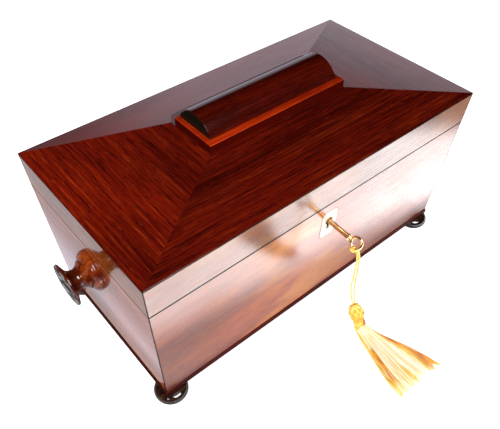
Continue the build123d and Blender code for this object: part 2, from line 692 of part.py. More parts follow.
# The tassel: a knot on the key's bow, two limp strands, a bound head and a fan of threads
knot_middle = bow_plane.from_local_coords(Vector(-BOW_RADIUS - 0.6, BOW_CENTRE + 0.6, 0))
with BuildPart() as tassel_knot:
    with Locations(knot_middle):
        Sphere(2.7)
    add(key.part, mode=Mode.SUBTRACT)
write(tassel_knot, "tassel_knot")

# The head: a thread-bound bulb that lies over, with a waist at each end
head_top = Vector(10.0, -110.8, 22.4)
head_axis = Vector(-0.146, -0.677, -0.719).normalized()
head_plane = Plane(origin=head_top, x_dir=(1, 0, 0), z_dir=head_axis)
with BuildPart() as tassel_head:
    with BuildSketch(Plane(origin=head_plane.origin, x_dir=head_plane.x_dir, z_dir=-head_plane.y_dir)):
        with BuildLine():
            Line((0, 0), (2.2, 0))
            ThreePointArc((2.2, 0), (6.2, 7.6), (5.2, 14.4))
            Polyline((5.2, 14.4), (4.6, 15.2), (5.0, 16.2), (5.0, 18.6), (0, 18.6), (0, 0))
        make_face()
    revolve(axis=Axis(head_plane.origin, head_plane.z_dir))
    split(bisect_by=Plane.XY.offset(0.2))
write(tassel_head, "tassel_head")

STRAND_TOP = 91.8
strands = {
    "a": [
        (3.2, -108.2, STRAND_TOP), (5.6, -108.4, 80.0), (4.4, -109.0, 64.0), (2.6, -109.6, 50.0),
        (5.8, -110.2, 34.5), (9.0, -110.9, 22.4),
    ],
    "b": [
        (4.9, -108.4, STRAND_TOP), (7.5, -108.8, 80.0), (7.8, -109.2, 66.0), (6.8, -109.8, 51.5),
        (8.2, -110.4, 36.5), (10.9, -110.9, 22.4),
    ],
}
for name, points in strands.items():
    corner_radii = []
    for before, corner, after in zip(points, points[1:], points[2:]):
        first, second = Vector(*corner) - Vector(*before), Vector(*after) - Vector(*corner)
        turn = math.radians(first.get_angle(second))
        corner_radii.append(0.45 * min(first.length, second.length) / math.tan(turn / 2))
    print(f"strand {name}: radii", [round(radius, 1) for radius in corner_radii])
    with BuildPart() as strand:
        with BuildLine():
            route = FilletPolyline(*points, radius=corner_radii)
        with BuildSketch(Plane(origin=route @ 0, z_dir=route % 0)):
            Circle(CORD_RADIUS)
        sweep()
    ratio = strand.part.volume / (math.pi * CORD_RADIUS**2 * route.length)
    print(f"strand {name}: length {route.length:.1f}, volume against section times length {ratio:.4f}")
    with BuildPart() as strand_end:
        add(strand.part)
        add(tassel_head.part, mode=Mode.SUBTRACT)
    write(strand_end, f"tassel_strand_{name}")

# The fan: ridged locks of thread that leave the head and spread out flat on the table
LOCKS = 9
fan_sections = [  # how far forward, left edge, right edge, underside, height
    (-122.6, 2.8, 12.2, 4.6, 8.4),
    (-129.0, 1.2, 14.4, 1.6, 8.6),
    (-138.0, -1.0, 18.2, 0.0, 7.8),
    (-148.0, -4.0, 22.4, 0.0, 6.8),
    (-160.0, -8.0, 27.0, 0.0, 5.4),
    (-174.0, -11.6, 31.4, 0.0, 3.8),
    (-188.0, -13.4, 34.6, 0.0, 2.0),
]


def fan_section(y, left, right, under, height):
    """One cross-section of the fan: a flat underside and a row of ridged locks on top."""
    top = []
    for index in range(2 * LOCKS + 1):
        across = index / (2 * LOCKS)
        crown = math.sin(math.pi * (0.08 + 0.84 * across)) ** 0.7
        groove = 1.0 if index % 2 else 0.84
        top.append((left + (right - left) * across, under + height * crown * groove))
    with BuildSketch(Plane.XZ.offset(-y)) as section:
        with BuildLine():
            Polyline((left, under), (right, under), *top[::-1], close=True)
        make_face()
    return section.sketch


with BuildPart() as tassel_skirt:
    loft([fan_section(*section) for section in fan_sections], ruled=True)
    add(tassel_head.part, mode=Mode.SUBTRACT)
write(tassel_skirt, "tassel_skirt")
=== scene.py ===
"""Looks of the antique tea caddy: polished veneers, brass, bone, a silk tassel, soft light and a camera.

Metres, +Z up, in the CAD model's frame. The front faces -Y.
"""

import json
import math
import random

import bpy
from mathutils import Matrix, Vector
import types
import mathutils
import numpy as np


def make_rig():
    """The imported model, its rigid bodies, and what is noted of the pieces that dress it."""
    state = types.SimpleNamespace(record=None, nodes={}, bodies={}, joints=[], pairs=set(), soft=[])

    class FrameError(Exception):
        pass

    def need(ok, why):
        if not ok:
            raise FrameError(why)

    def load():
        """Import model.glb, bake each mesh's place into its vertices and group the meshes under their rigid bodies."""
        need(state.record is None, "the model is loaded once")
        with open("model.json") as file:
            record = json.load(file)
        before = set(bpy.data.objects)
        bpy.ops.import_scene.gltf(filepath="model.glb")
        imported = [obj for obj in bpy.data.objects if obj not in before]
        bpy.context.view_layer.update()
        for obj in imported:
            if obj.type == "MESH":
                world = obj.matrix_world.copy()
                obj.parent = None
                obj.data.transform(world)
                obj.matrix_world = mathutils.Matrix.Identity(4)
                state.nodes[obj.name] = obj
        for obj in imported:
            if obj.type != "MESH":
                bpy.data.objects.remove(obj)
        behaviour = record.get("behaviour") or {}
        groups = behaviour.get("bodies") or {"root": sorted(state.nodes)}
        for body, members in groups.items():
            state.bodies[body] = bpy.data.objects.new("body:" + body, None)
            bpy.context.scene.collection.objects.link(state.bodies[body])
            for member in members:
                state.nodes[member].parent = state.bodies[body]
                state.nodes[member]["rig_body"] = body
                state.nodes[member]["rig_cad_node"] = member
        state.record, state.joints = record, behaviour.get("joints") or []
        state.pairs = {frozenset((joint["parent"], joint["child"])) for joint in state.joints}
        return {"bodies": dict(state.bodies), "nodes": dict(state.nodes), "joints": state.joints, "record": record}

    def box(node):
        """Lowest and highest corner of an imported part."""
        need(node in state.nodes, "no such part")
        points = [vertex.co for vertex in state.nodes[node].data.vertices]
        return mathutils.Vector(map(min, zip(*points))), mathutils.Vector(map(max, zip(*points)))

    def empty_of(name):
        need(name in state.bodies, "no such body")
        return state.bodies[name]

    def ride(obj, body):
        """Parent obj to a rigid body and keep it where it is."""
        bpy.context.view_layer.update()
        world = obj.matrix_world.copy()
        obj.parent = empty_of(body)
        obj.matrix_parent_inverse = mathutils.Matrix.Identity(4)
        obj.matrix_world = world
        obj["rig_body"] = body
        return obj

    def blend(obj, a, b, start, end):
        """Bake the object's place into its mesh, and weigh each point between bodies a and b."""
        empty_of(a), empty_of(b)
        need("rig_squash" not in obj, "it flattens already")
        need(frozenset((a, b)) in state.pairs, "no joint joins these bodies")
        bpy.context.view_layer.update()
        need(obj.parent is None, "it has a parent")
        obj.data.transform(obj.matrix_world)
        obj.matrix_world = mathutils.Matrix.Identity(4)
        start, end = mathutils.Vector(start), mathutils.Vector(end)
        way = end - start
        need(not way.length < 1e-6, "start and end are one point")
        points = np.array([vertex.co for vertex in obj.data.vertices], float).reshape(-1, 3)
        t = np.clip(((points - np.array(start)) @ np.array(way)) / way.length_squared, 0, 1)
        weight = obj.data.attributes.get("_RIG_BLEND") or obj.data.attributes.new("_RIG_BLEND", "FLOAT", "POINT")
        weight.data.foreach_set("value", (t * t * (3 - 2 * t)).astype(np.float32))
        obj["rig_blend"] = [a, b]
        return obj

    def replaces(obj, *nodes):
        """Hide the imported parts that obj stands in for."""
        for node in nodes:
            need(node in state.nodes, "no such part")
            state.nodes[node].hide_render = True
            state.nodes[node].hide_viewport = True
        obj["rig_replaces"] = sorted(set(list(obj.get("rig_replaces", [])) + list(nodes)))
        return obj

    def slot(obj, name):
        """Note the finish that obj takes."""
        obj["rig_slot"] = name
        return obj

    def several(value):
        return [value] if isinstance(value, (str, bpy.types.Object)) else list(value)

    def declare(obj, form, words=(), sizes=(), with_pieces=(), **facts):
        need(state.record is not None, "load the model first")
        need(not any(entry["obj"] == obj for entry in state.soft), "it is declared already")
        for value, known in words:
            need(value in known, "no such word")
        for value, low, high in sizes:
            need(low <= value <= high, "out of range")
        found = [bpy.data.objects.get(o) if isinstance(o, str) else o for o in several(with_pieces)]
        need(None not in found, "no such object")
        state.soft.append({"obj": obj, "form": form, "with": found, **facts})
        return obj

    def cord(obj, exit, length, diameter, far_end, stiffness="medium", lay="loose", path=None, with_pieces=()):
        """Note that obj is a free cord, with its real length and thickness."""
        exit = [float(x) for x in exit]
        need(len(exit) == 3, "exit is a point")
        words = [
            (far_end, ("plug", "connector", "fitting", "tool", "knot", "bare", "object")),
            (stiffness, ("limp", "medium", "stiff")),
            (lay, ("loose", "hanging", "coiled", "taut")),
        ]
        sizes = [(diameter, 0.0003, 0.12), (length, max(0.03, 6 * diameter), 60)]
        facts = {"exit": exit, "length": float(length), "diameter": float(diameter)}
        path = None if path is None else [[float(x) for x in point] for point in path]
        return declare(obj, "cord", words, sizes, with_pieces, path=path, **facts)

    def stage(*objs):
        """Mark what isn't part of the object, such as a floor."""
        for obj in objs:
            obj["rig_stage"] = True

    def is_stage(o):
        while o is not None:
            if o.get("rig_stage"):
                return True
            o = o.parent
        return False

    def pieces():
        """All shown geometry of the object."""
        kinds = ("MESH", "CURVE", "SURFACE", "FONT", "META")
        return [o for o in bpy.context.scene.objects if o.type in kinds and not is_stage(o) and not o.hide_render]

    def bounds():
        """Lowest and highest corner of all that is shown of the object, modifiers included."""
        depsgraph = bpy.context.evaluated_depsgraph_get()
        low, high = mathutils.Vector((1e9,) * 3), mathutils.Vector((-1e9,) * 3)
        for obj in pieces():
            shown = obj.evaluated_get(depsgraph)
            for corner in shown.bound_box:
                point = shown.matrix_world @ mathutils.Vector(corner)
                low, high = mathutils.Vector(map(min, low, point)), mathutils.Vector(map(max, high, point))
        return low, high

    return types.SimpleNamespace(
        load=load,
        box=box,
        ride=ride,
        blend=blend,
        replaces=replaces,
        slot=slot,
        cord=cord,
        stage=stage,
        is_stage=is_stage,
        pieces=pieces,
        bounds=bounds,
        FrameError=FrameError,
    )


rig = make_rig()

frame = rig.load()
cad_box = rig.bounds()
nodes = frame["nodes"]

MM = 0.001
SEAM_Z = (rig.box("front_panel")[1][2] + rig.box("lid_front_fascia")[0][2]) / 2
EAVE_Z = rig.box("lid_front_fascia")[1][2]
SIDES = ("front", "back", "left", "right")
UP = Vector((0, 0, 1))
TAPER = 0.058  # how far each side leans out for each metre of height
SEAM_HALF = 0.8 * MM  # half the width of the painted shade line along the seam


# Camera

IMAGE_WIDTH = 500
FOCAL_PX = 598.78
SENSOR_MM = 36.0
CAMERA_PLACE = Vector((-0.25066, -0.28100, 0.42494))
CAMERA_HEADING = 49.323  # degrees from +X
CAMERA_DROP = 44.950  # degrees below level
CAMERA_ROLL = 0.706


def make_camera():
    """The photograph's own view, with no shift."""
    heading, drop, roll = (math.radians(a) for a in (CAMERA_HEADING, CAMERA_DROP, CAMERA_ROLL))
    reach = math.cos(drop)
    forward = Vector((math.cos(heading) * reach, math.sin(heading) * reach, -math.sin(drop)))
    level = forward.cross(UP).normalized()
    above = level.cross(forward)
    right = level * math.cos(roll) + above * math.sin(roll)
    lens = bpy.data.cameras.new("photo_camera")
    lens.sensor_width = SENSOR_MM
    lens.lens = FOCAL_PX * SENSOR_MM / IMAGE_WIDTH
    lens.clip_start = 0.01
    camera = bpy.data.objects.new("photo_camera", lens)
    turn = Matrix((right, right.cross(forward), -forward)).transposed()
    camera.matrix_world = Matrix.Translation(CAMERA_PLACE) @ turn.to_4x4()
    bpy.context.scene.collection.objects.link(camera)
    bpy.context.scene.camera = camera


# Mesh helpers


def new_mesh(name, vertices, faces, smooth=True):
    """A mesh object in the scene, from points in metres."""
    mesh = bpy.data.meshes.new(name)
    mesh.from_pydata([tuple(v) for v in vertices], [], faces)
    mesh.validate()
    mesh.update()
    mesh.polygons.foreach_set("use_smooth", [smooth] * len(mesh.polygons))
    piece = bpy.data.objects.new(name, mesh)
    bpy.context.scene.collection.objects.link(piece)
    return piece


def along(points):
    """Each point's direction and one steady sideways direction, turned as little as possible."""
    before, after = [points[0]] + points[:-1], points[1:] + [points[-1]]
    ahead = [(b - a).normalized() for a, b in zip(before, after)]
    side = ahead[0].cross(UP if abs(ahead[0].z) < 0.9 else Vector((1, 0, 0))).normalized()
    result = []
    for direction in ahead:
        side = (side - direction * side.dot(direction)).normalized()
        result.append((direction, side, direction.cross(side)))
    return result


def tubes(name, runs, sides=8, tint=None):
    """One mesh of round tubes with closed ends.

    runs holds (points, radius), radius a number or one per point. tint gives a face's material index from
    its run's number and its share of the way along.
    """
    vertices, faces, tints = [], [], []
    for run, (points, radius) in enumerate(runs):
        radii = radius if isinstance(radius, (list, tuple)) else [radius] * len(points)
        start = len(vertices)
        for point, (_, across, over), r in zip(points, along(points), radii):
            for step in range(sides):
                angle = 2 * math.pi * step / sides
                vertices.append(point + (across * math.cos(angle) + over * math.sin(angle)) * r)
        spans = len(points) - 1
        for ring in range(spans):
            for step in range(sides):
                a = start + ring * sides + step
                b = start + ring * sides + (step + 1) % sides
                faces.append((a, b, b + sides, a + sides))
        faces.append(tuple(start + step for step in reversed(range(sides))))
        faces.append(tuple(start + spans * sides + step for step in range(sides)))
        shares = [ring / spans for ring in range(spans) for _ in range(sides)] + [0, 1]
        tints += [tint(run, share) if tint else 0 for share in shares]
    piece = new_mesh(name, vertices, faces)
    piece.data.polygons.foreach_set("material_index", tints)
    return piece


def smooth_route(points, resolution=24):
    """Points along the NURBS curve that a route's points control."""
    curve = bpy.data.curves.new("route", "CURVE")
    curve.dimensions = "3D"
    spline = curve.splines.new("NURBS")
    spline.points.add(len(points) - 1)
    for control, point in zip(spline.points, points):
        control.co = (*point, 1)
    spline.order_u = 3
    spline.use_endpoint_u = True
    spline.resolution_u = resolution
    holder = bpy.data.objects.new("route", curve)
    line = bpy.data.meshes.new_from_object(holder)
    found = [v.co.copy() for v in line.vertices]
    bpy.data.objects.remove(holder)
    bpy.data.curves.remove(curve)
    bpy.data.meshes.remove(line)
    return found


def route_length(points):
    """The length of a line of points."""
    return sum((b - a).length for a, b in zip(points, points[1:]))


def twisted(points, plies, off, pitch, phase=0.0):
    """Lines that wind round a centreline as the plies of a cord do."""
    lines = [[] for _ in range(plies)]
    travelled = 0.0
    before = points[0]
    for point, (_, across, over) in zip(points, along(points)):
        travelled += (point - before).length
        before = point
        for ply, line in enumerate(lines):
            angle = phase + 2 * math.pi * (travelled / pitch + ply / plies)
            line.append(point + (across * math.cos(angle) + over * math.sin(angle)) * off)
    return lines


# Materials


class Nodes:
    """A node tree. Each call adds a node and returns the socket that holds its result."""

    def __init__(self, tree):
        self.tree = tree

    def add(self, kind, inputs=None, output=0, **settings):
        made = self.tree.nodes.new("ShaderNode" + kind)
        for key, value in settings.items():
            setattr(made, key, value)
        for key, value in (inputs or {}).items():
            self.feed(made.inputs[key], value)
        return made.outputs[output]

    def feed(self, socket, value):
        if isinstance(value, bpy.types.NodeSocket):
            self.tree.links.new(value, socket)
        else:
            socket.default_value = value

    def maths(self, operation, a, b=0.0, c=0.0):
        return self.add("Math", {0: a, 1: b, 2: c}, operation=operation)

    def size(self, value):
        """A number without its sign."""
        return self.maths("ABSOLUTE", value)

    def off(self, value, centre):
        """How far a number is from centre, either way."""
        return self.size(self.maths("SUBTRACT", value, centre))

    def times(self, *values):
        result = values[0]
        for value in values[1:]:
            result = self.maths("MULTIPLY", result, value)
        return result

    def scaled(self, vector, scale):
        return self.add("VectorMath", {0: vector, 1: scale}, operation="MULTIPLY")

    def moved(self, vector, step):
        return self.add("VectorMath", {0: vector, 1: step}, operation="ADD")

    def dot(self, vector, direction):
        """How far a point lies along a direction."""
        inputs = {0: vector, 1: tuple(direction)}
        return self.add("VectorMath", inputs, output="Value", operation="DOT_PRODUCT")

    def noise(self, vector, detail=3.0, roughness=0.55, distortion=0.0, output="Fac"):
        inputs = dict(Vector=vector, Scale=1.0, Detail=detail, Roughness=roughness, Distortion=distortion)
        return self.add("TexNoise", inputs, output=output)

    def ramp(self, value, stops):
        """Colours by value: stops holds (place, colour)."""
        made = self.tree.nodes.new("ShaderNodeValToRGB")
        self.feed(made.inputs[0], value)
        while len(made.color_ramp.elements) < len(stops):
            made.color_ramp.elements.new(0.5)
        for element, (place, colour) in zip(made.color_ramp.elements, stops):
            element.position = place
            element.color = (*colour, 1)
        return made.outputs["Color"]

    def fade(self, value, low, high, to_low=0.0, to_high=1.0):
        """A smooth step from to_low to to_high as value goes from low to high."""
        inputs = {"Value": value, "From Min": low, "From Max": high, "To Min": to_low, "To Max": to_high}
        return self.add("MapRange", inputs, interpolation_type="SMOOTHSTEP")

    def blend(self, factor, a, b):
        """A number between a and b."""
        return self.add("Mix", {0: factor, 2: a, 3: b})

    def mix(self, factor, a, b, kind="MIX"):
        """A colour between a and b."""
        a, b = ((*c, 1) if isinstance(c, tuple) and len(c) == 3 else c for c in (a, b))
        return self.add("Mix", {"Factor": factor, 6: a, 7: b}, output=2, data_type="RGBA", blend_type=kind)

    def grey(self, value):
        return self.add("CombineColor", {0: value, 1: value, 2: value})

    def parts(self, vector):
        made = self.tree.nodes.new("ShaderNodeSeparateXYZ")
        self.feed(made.inputs[0], vector)
        return made.outputs

    def bump(self, height, distance, strength=1.0, normal=None):
        inputs = {"Height": height, "Distance": distance, "Strength": strength}
        if normal is not None:
            inputs["Normal"] = normal
        return self.add("Bump", inputs)


class Finish(Nodes):
    """A surface material."""

    def __init__(self, name):
        self.material = bpy.data.materials.new(name)
        self.material.use_nodes = True
        super().__init__(self.material.node_tree)
        self.shader = self.tree.nodes["Principled BSDF"]
        self.place = self.add("TexCoord", output="Object")

    def facing(self, axis):
        """How far the surface faces along an axis, either way."""
        return self.size(self.parts(self.add("TexCoord", output="Normal"))["XYZ".index(axis)])

    def grain(self, place, axis, fineness, detail=3.0, roughness=0.55):
        """Noise that runs along the grain. fineness is in repeats to the metre, along it and across it."""
        return self.noise(self.scaled(place, grain_scale(axis, *fineness)), detail, roughness)

    def tinted(self, colour, strength):
        """A colour made lighter or darker."""
        return self.mix(1.0, colour, self.grey(strength), "MULTIPLY")

    def set(self, **values):
        """Set or link the shader's own sockets: base_color stands for Base Color."""
        for key, value in values.items():
            words = key.replace("_", " ").title().replace("Ior", "IOR")
            self.feed(self.shader.inputs[words], value)


def grain_scale(axis, lengthwise, across):
    """A scale that stretches a pattern along one axis."""
    return tuple(lengthwise if name == axis else across for name in "XYZ")


def shifted(tones, factor):
    """The same tones, lighter or darker."""
    return tuple(tuple(part * factor for part in tone) for tone in tones)


# Each wood and silk has four tones, from its darkest to its lightest
ROOF_TONES = ((0.008, 0.0006, 0.0004), (0.049, 0.0019, 0.0006), (0.092, 0.0048, 0.001), (0.25, 0.036, 0.004))
SHELF_TONES = ((0.15, 0.007, 0.001), (0.27, 0.014, 0.0015), (0.38, 0.026, 0.002), (0.50, 0.06, 0.004))
FRONT_TONES = ((0.11, 0.009, 0.003), (0.23, 0.030, 0.007), (0.31, 0.062, 0.012), (0.52, 0.17, 0.03))
MOULDING_TONES = ((0.007, 0.0012, 0.001), (0.022, 0.002, 0.0012), (0.05, 0.004, 0.002), (0.1, 0.012, 0.004))
MAHOGANY_TONES = ((0.11, 0.035, 0.014), (0.20, 0.07, 0.028), (0.29, 0.11, 0.045), (0.38, 0.17, 0.07))
HANDLE_TONES = ((0.035, 0.003, 0.001), (0.10, 0.009, 0.0015), (0.19, 0.027, 0.004), (0.34, 0.07, 0.010))
FOOT_TONES = ((0.004, 0.002, 0.0015), (0.010, 0.004, 0.003), (0.022, 0.008, 0.004), (0.06, 0.025, 0.012))
SILK_TONES = ((0.72, 0.27, 0.012), (0.86, 0.52, 0.05), (0.90, 0.68, 0.13), (0.93, 0.82, 0.30))
# pale silk is a copy of the golden silk lit with painted light; amber is a copy with painted shade
PALE_TONES = ((0.94, 0.78, 0.34), (0.98, 0.93, 0.64), (1.0, 0.98, 0.82), (1.0, 1.0, 0.94))
AMBER_TONES = ((0.42, 0.065, 0.003), (0.72, 0.19, 0.006), (0.86, 0.38, 0.018), (0.93, 0.60, 0.08))

# Single colours, and the bright and tarnished colours of metals
# painted shade in the seam's groove and on upright edges, and grime in the mitres
SHADE_AND_GRIME = (0.010, 0.004, 0.003)
# a painted mauve reflection, on the ledge behind the barrel
MAUVE_REFLECTION = (0.105, 0.070, 0.078)
# painted shade on the ledge's upright sides
LEDGE_SIDE_SHADE = (0.045, 0.002, 0.0008)
# a painted dark reflection on the barrel's end faces
BARREL_END_REFLECTION = (0.005, 0.005, 0.003)
BONE_STAIN = (0.62, 0.50, 0.32)
BONE_PIT = (0.35, 0.22, 0.11)
BONE_RIM = (0.06, 0.045, 0.04)
GLASS = (0.96, 0.99, 0.975, 1)
LOCK_BRASS = ((0.78, 0.56, 0.24), (0.34, 0.20, 0.07))
KEY_BRASS = ((0.86, 0.56, 0.26), (0.30, 0.14, 0.06))
IRON = ((0.45, 0.42, 0.38), (0.12, 0.08, 0.06))

# How strongly a clear polish and glass bend light
COAT_IOR = 1.6
GLASS_IOR = 1.5

# Where the four tones lie in the range of a pattern
VENEER_STOPS = (0.34, 0.46, 0.57, 0.73)
TURNED_STOPS = (0.38, 0.47, 0.54, 0.66)
SILK_STOPS = (0.34, 0.44, 0.53, 0.64)

# Other ramps, with the place of each colour
# painted streaks of reflection on the handles' end faces
REFLECTION_STREAKS = [(0.48, (0.018, 0.010, 0.007)), (0.55, (0.045, 0.035, 0.030)), (0.62, (0.26, 0.25, 0.24))]
BONE_RAMP = [(0.3, (0.74, 0.66, 0.50)), (0.55, (0.86, 0.80, 0.67)), (0.8, (0.90, 0.86, 0.76))]
LEAD_RAMP = [(0.3, (0.20, 0.20, 0.205)), (0.55, (0.34, 0.34, 0.335)), (0.8, (0.50, 0.50, 0.48))]
VELVET_RAMP = [(0.3, (0.075, 0.004, 0.010)), (0.6, (0.15, 0.008, 0.018)), (0.8, (0.26, 0.018, 0.03))]

# How fine the patterns in veneer are, in repeats to the metre along the grain and across it
SWIRL = (5, 17)
BANDS = (3.5, 75)
STREAKS = (18, 520)
HAIRS = (60, 1500)
MOTTLE = (8, 24)
FIGURE = (11, 30)
DASHES = (70, 1100)
PORES = (110, 2400)
RIPPLE = (14, 60)
HAIR_SHARE = 0.18  # how much hairs count for in the tone, beside bands and streaks
SEED_STEP = (1.37, 0.71, 0.43)  # how far one step of a seed moves a pattern


def veneer(name, axis, tones, seed, gloss=0.1, sway=0.006, bands=0.30, patches=0.0, flecks=0.35, warm=None,
           lines=(), corner=None, upright=None, ends=None, behind=None, coat=1.0):
    """Polished figured wood: streaks, broad bands and pores along one axis, under a clear polish.

    sway is how far the grain wanders, and bands how much of the tone is broad bands. patches and flecks are
    how strongly the lightest tone comes through, in patches and in short dashes. warm is (centre, reach)
    along the axis for a board whose patches gather there while the rest is darker. lines, corner, upright,
    ends and behind are explained in shaded_and_grimy_joints and painted_light_on_faces.
    """
    finish = Finish(name)
    start = finish.moved(finish.place, tuple(seed * step for step in SEED_STEP))
    swirl = finish.noise(finish.scaled(start, grain_scale(axis, *SWIRL)), 2, output="Color")
    drift = finish.moved(swirl, (-0.5,) * 3)
    wavy = finish.moved(start, finish.scaled(drift, grain_scale(axis, 0, sway)))
    broad = finish.grain(wavy, axis, BANDS, 4, 0.6)
    streaks = finish.grain(wavy, axis, STREAKS, 4, 0.65)
    hairs = finish.grain(wavy, axis, HAIRS, 2, 0.6)
    tone = finish.maths("MULTIPLY_ADD", broad, bands, finish.times(streaks, 1 - HAIR_SHARE - bands))
    tone = finish.maths("MULTIPLY_ADD", hairs, HAIR_SHARE, tone)
    colour = finish.ramp(tone, list(zip(VENEER_STOPS, tones)))
    mottle = finish.grain(start, axis, MOTTLE, 3, 0.5)
    colour = finish.tinted(colour, finish.fade(mottle, 0.3, 0.7, 0.7, 1.3))
    lengthwise = finish.parts(finish.place)["XYZ".index(axis)]
    amber = patches
    if warm:
        centre, reach = warm
        near = finish.fade(finish.off(lengthwise, centre), 0.0, reach, 1.0, 0.0)
        colour = finish.tinted(colour, finish.blend(near, 0.72, 1.08))
        amber = finish.times(near, patches)
    if patches:
        figure = finish.grain(start, axis, FIGURE, 2, 0.5)
        colour = finish.mix(finish.times(finish.fade(figure, 0.44, 0.62), amber), colour, tones[3])
    dashes = finish.grain(wavy, axis, DASHES, 3, 0.6)
    colour = finish.mix(finish.fade(dashes, 0.60, 0.74, 0.0, flecks), colour, tones[3])
    pores = finish.grain(wavy, axis, PORES, 2, 0.5)
    open_pores = finish.fade(pores, 0.58, 0.66)
    colour = finish.mix(finish.times(open_pores, 0.7), colour, tones[0])
    polish = finish.fade(finish.maths("ADD", streaks, hairs), 0.75, 1.25, coat, 0.78 * coat)
    colour, polish = shaded_and_grimy_joints(finish, colour, polish, lengthwise, lines, corner)
    colour, polish = painted_light_on_faces(finish, colour, polish, lengthwise, upright, ends, behind)
    ripple = finish.grain(start, axis, RIPPLE, 2, 0.5)
    relief = finish.maths("SUBTRACT", finish.times(streaks, 0.25), open_pores)
    rounded = finish.add("Bevel", {"Radius": 0.35 * MM}, samples=4)
    fine = finish.bump(streaks, 0.012 * MM, 0.4, rounded)
    finish.set(base_color=colour, normal=finish.bump(relief, 0.05 * MM, 0.35))
    finish.set(coat_weight=polish, coat_normal=finish.bump(ripple, 0.22 * MM, 0.22, fine))
    finish.set(roughness=0.5, specular_ior_level=0.0, coat_roughness=gloss, coat_ior=COAT_IOR)
    return finish.material


def shaded_and_grimy_joints(finish, colour, polish, lengthwise, lines, corner):
    """A board's colour and polish with painted shade along its level joints and a dark line of grime at its mitres.

    lines holds (height, half width) for level joints. corner is half the board's length at the eave, where a
    mitre shows as a dark line that leans with the case.
    """
    height = finish.parts(finish.place)[2]
    for level, half in lines:
        off = finish.off(height, level)
        # painted shade in the seam's groove
        colour = finish.mix(finish.fade(off, half * 0.8, half * 1.4, 1.0, 0.0), colour, SHADE_AND_GRIME)
        polish = finish.times(polish, finish.fade(off, half * 0.7, half * 0.9))
    if corner:
        half_board = finish.maths("MULTIPLY_ADD", height, TAPER, corner - EAVE_Z * TAPER)
        inside = finish.maths("SUBTRACT", half_board, finish.size(lengthwise))
        colour = finish.mix(finish.fade(inside, 0.45 * MM, 1.05 * MM, 0.9, 0.0), colour, SHADE_AND_GRIME)
        polish = finish.times(polish, finish.fade(inside, 0.40 * MM, 0.65 * MM, 0.1, 1.0))
    return colour, polish


def painted_light_on_faces(finish, colour, polish, lengthwise, upright, ends, behind):
    """A board's colour and polish with painted light on some of its faces.

    upright is the colour of faces that stand upright: painted shade on the ledge's sides, and darker edges on the roof
    boards. ends is a painted dark reflection on faces square to X. behind is (y, half length): wood farther back than
    y gets a painted mauve reflection over that length.
    """
    if upright:
        # painted shade on faces that stand upright
        steep = finish.fade(finish.facing("Z"), 0.3, 0.7, 1.0, 0.0)
        colour = finish.mix(steep, colour, upright)
        polish = finish.times(polish, finish.maths("SUBTRACT", 1.0, finish.times(steep, 0.92)))
    if ends:
        # painted dark reflection on faces square to X
        end = finish.fade(finish.facing("X"), 0.6, 0.9)
        colour = finish.mix(end, colour, ends)
        polish = finish.times(polish, finish.blend(end, 1.0, 0.4))
    if behind:
        # a painted mauve reflection behind the barrel
        back, half_length = behind
        far = finish.fade(finish.parts(finish.place)[1], back, back + 0.5 * MM)
        beside = finish.fade(finish.size(lengthwise), half_length, half_length + MM, 1.0, 0.0)
        colour = finish.mix(finish.times(far, beside), colour, MAUVE_REFLECTION)
    return colour, polish


# painted shade: a handle is darker from its narrow neck to its end face
WAIST = (14 * MM, 9 * MM)  # how far in from its end face a handle begins to darken, and is dark


def turned_wood(name, tones, seed, gloss=0.04, coat=1.0, streaked_face=None):
    """Polished turned wood: streaks of dark grain and fine marks from the turning.

    The optional pair is where along X, each way, an end face with painted streaks of reflection begins and is whole.
    From the waist on, the wood is darkened with painted shade.
    """
    finish = Finish(name)
    start = finish.moved(finish.place, (seed, seed * 0.6, seed * 0.3))
    streaks = finish.noise(finish.scaled(start, (45, 300, 300)), 4, 0.6, 0.2)
    broad = finish.noise(finish.scaled(start, (20, 55, 70)), 3, 0.6, 0.2)
    tone = finish.maths("MULTIPLY_ADD", streaks, 0.55, finish.times(broad, 0.45))
    colour = finish.ramp(tone, list(zip(TURNED_STOPS, tones)))
    rings = finish.noise(finish.scaled(finish.place, (1100, 30, 30)), 1)
    finish.set(normal=finish.bump(streaks, 0.04 * MM, 0.3), coat_normal=finish.bump(rings, 0.012 * MM, 0.2))
    if streaked_face:
        marks = finish.noise(finish.scaled(finish.place, (1, 90, 420)), 3, 0.6, 0.3)
        out = finish.size(finish.parts(finish.place)[0])
        # painted shade from the neck outward
        waist = finish.fade(out, *(streaked_face[0] - depth for depth in WAIST), 0.0, 0.7)
        colour = finish.mix(waist, colour, tones[0])
        # painted streaks of reflection on the end face
        face = finish.times(finish.fade(finish.facing("X"), 0.85, 0.95), finish.fade(out, *streaked_face))
        colour = finish.mix(face, colour, finish.ramp(marks, REFLECTION_STREAKS))
        coat = finish.blend(face, coat, finish.fade(marks, 0.50, 0.60, 0.1, 1.0))
    finish.set(base_color=colour, coat_weight=coat)
    finish.set(roughness=0.4, specular_ior_level=0.0, coat_roughness=gloss, coat_ior=COAT_IOR)
    return finish.material


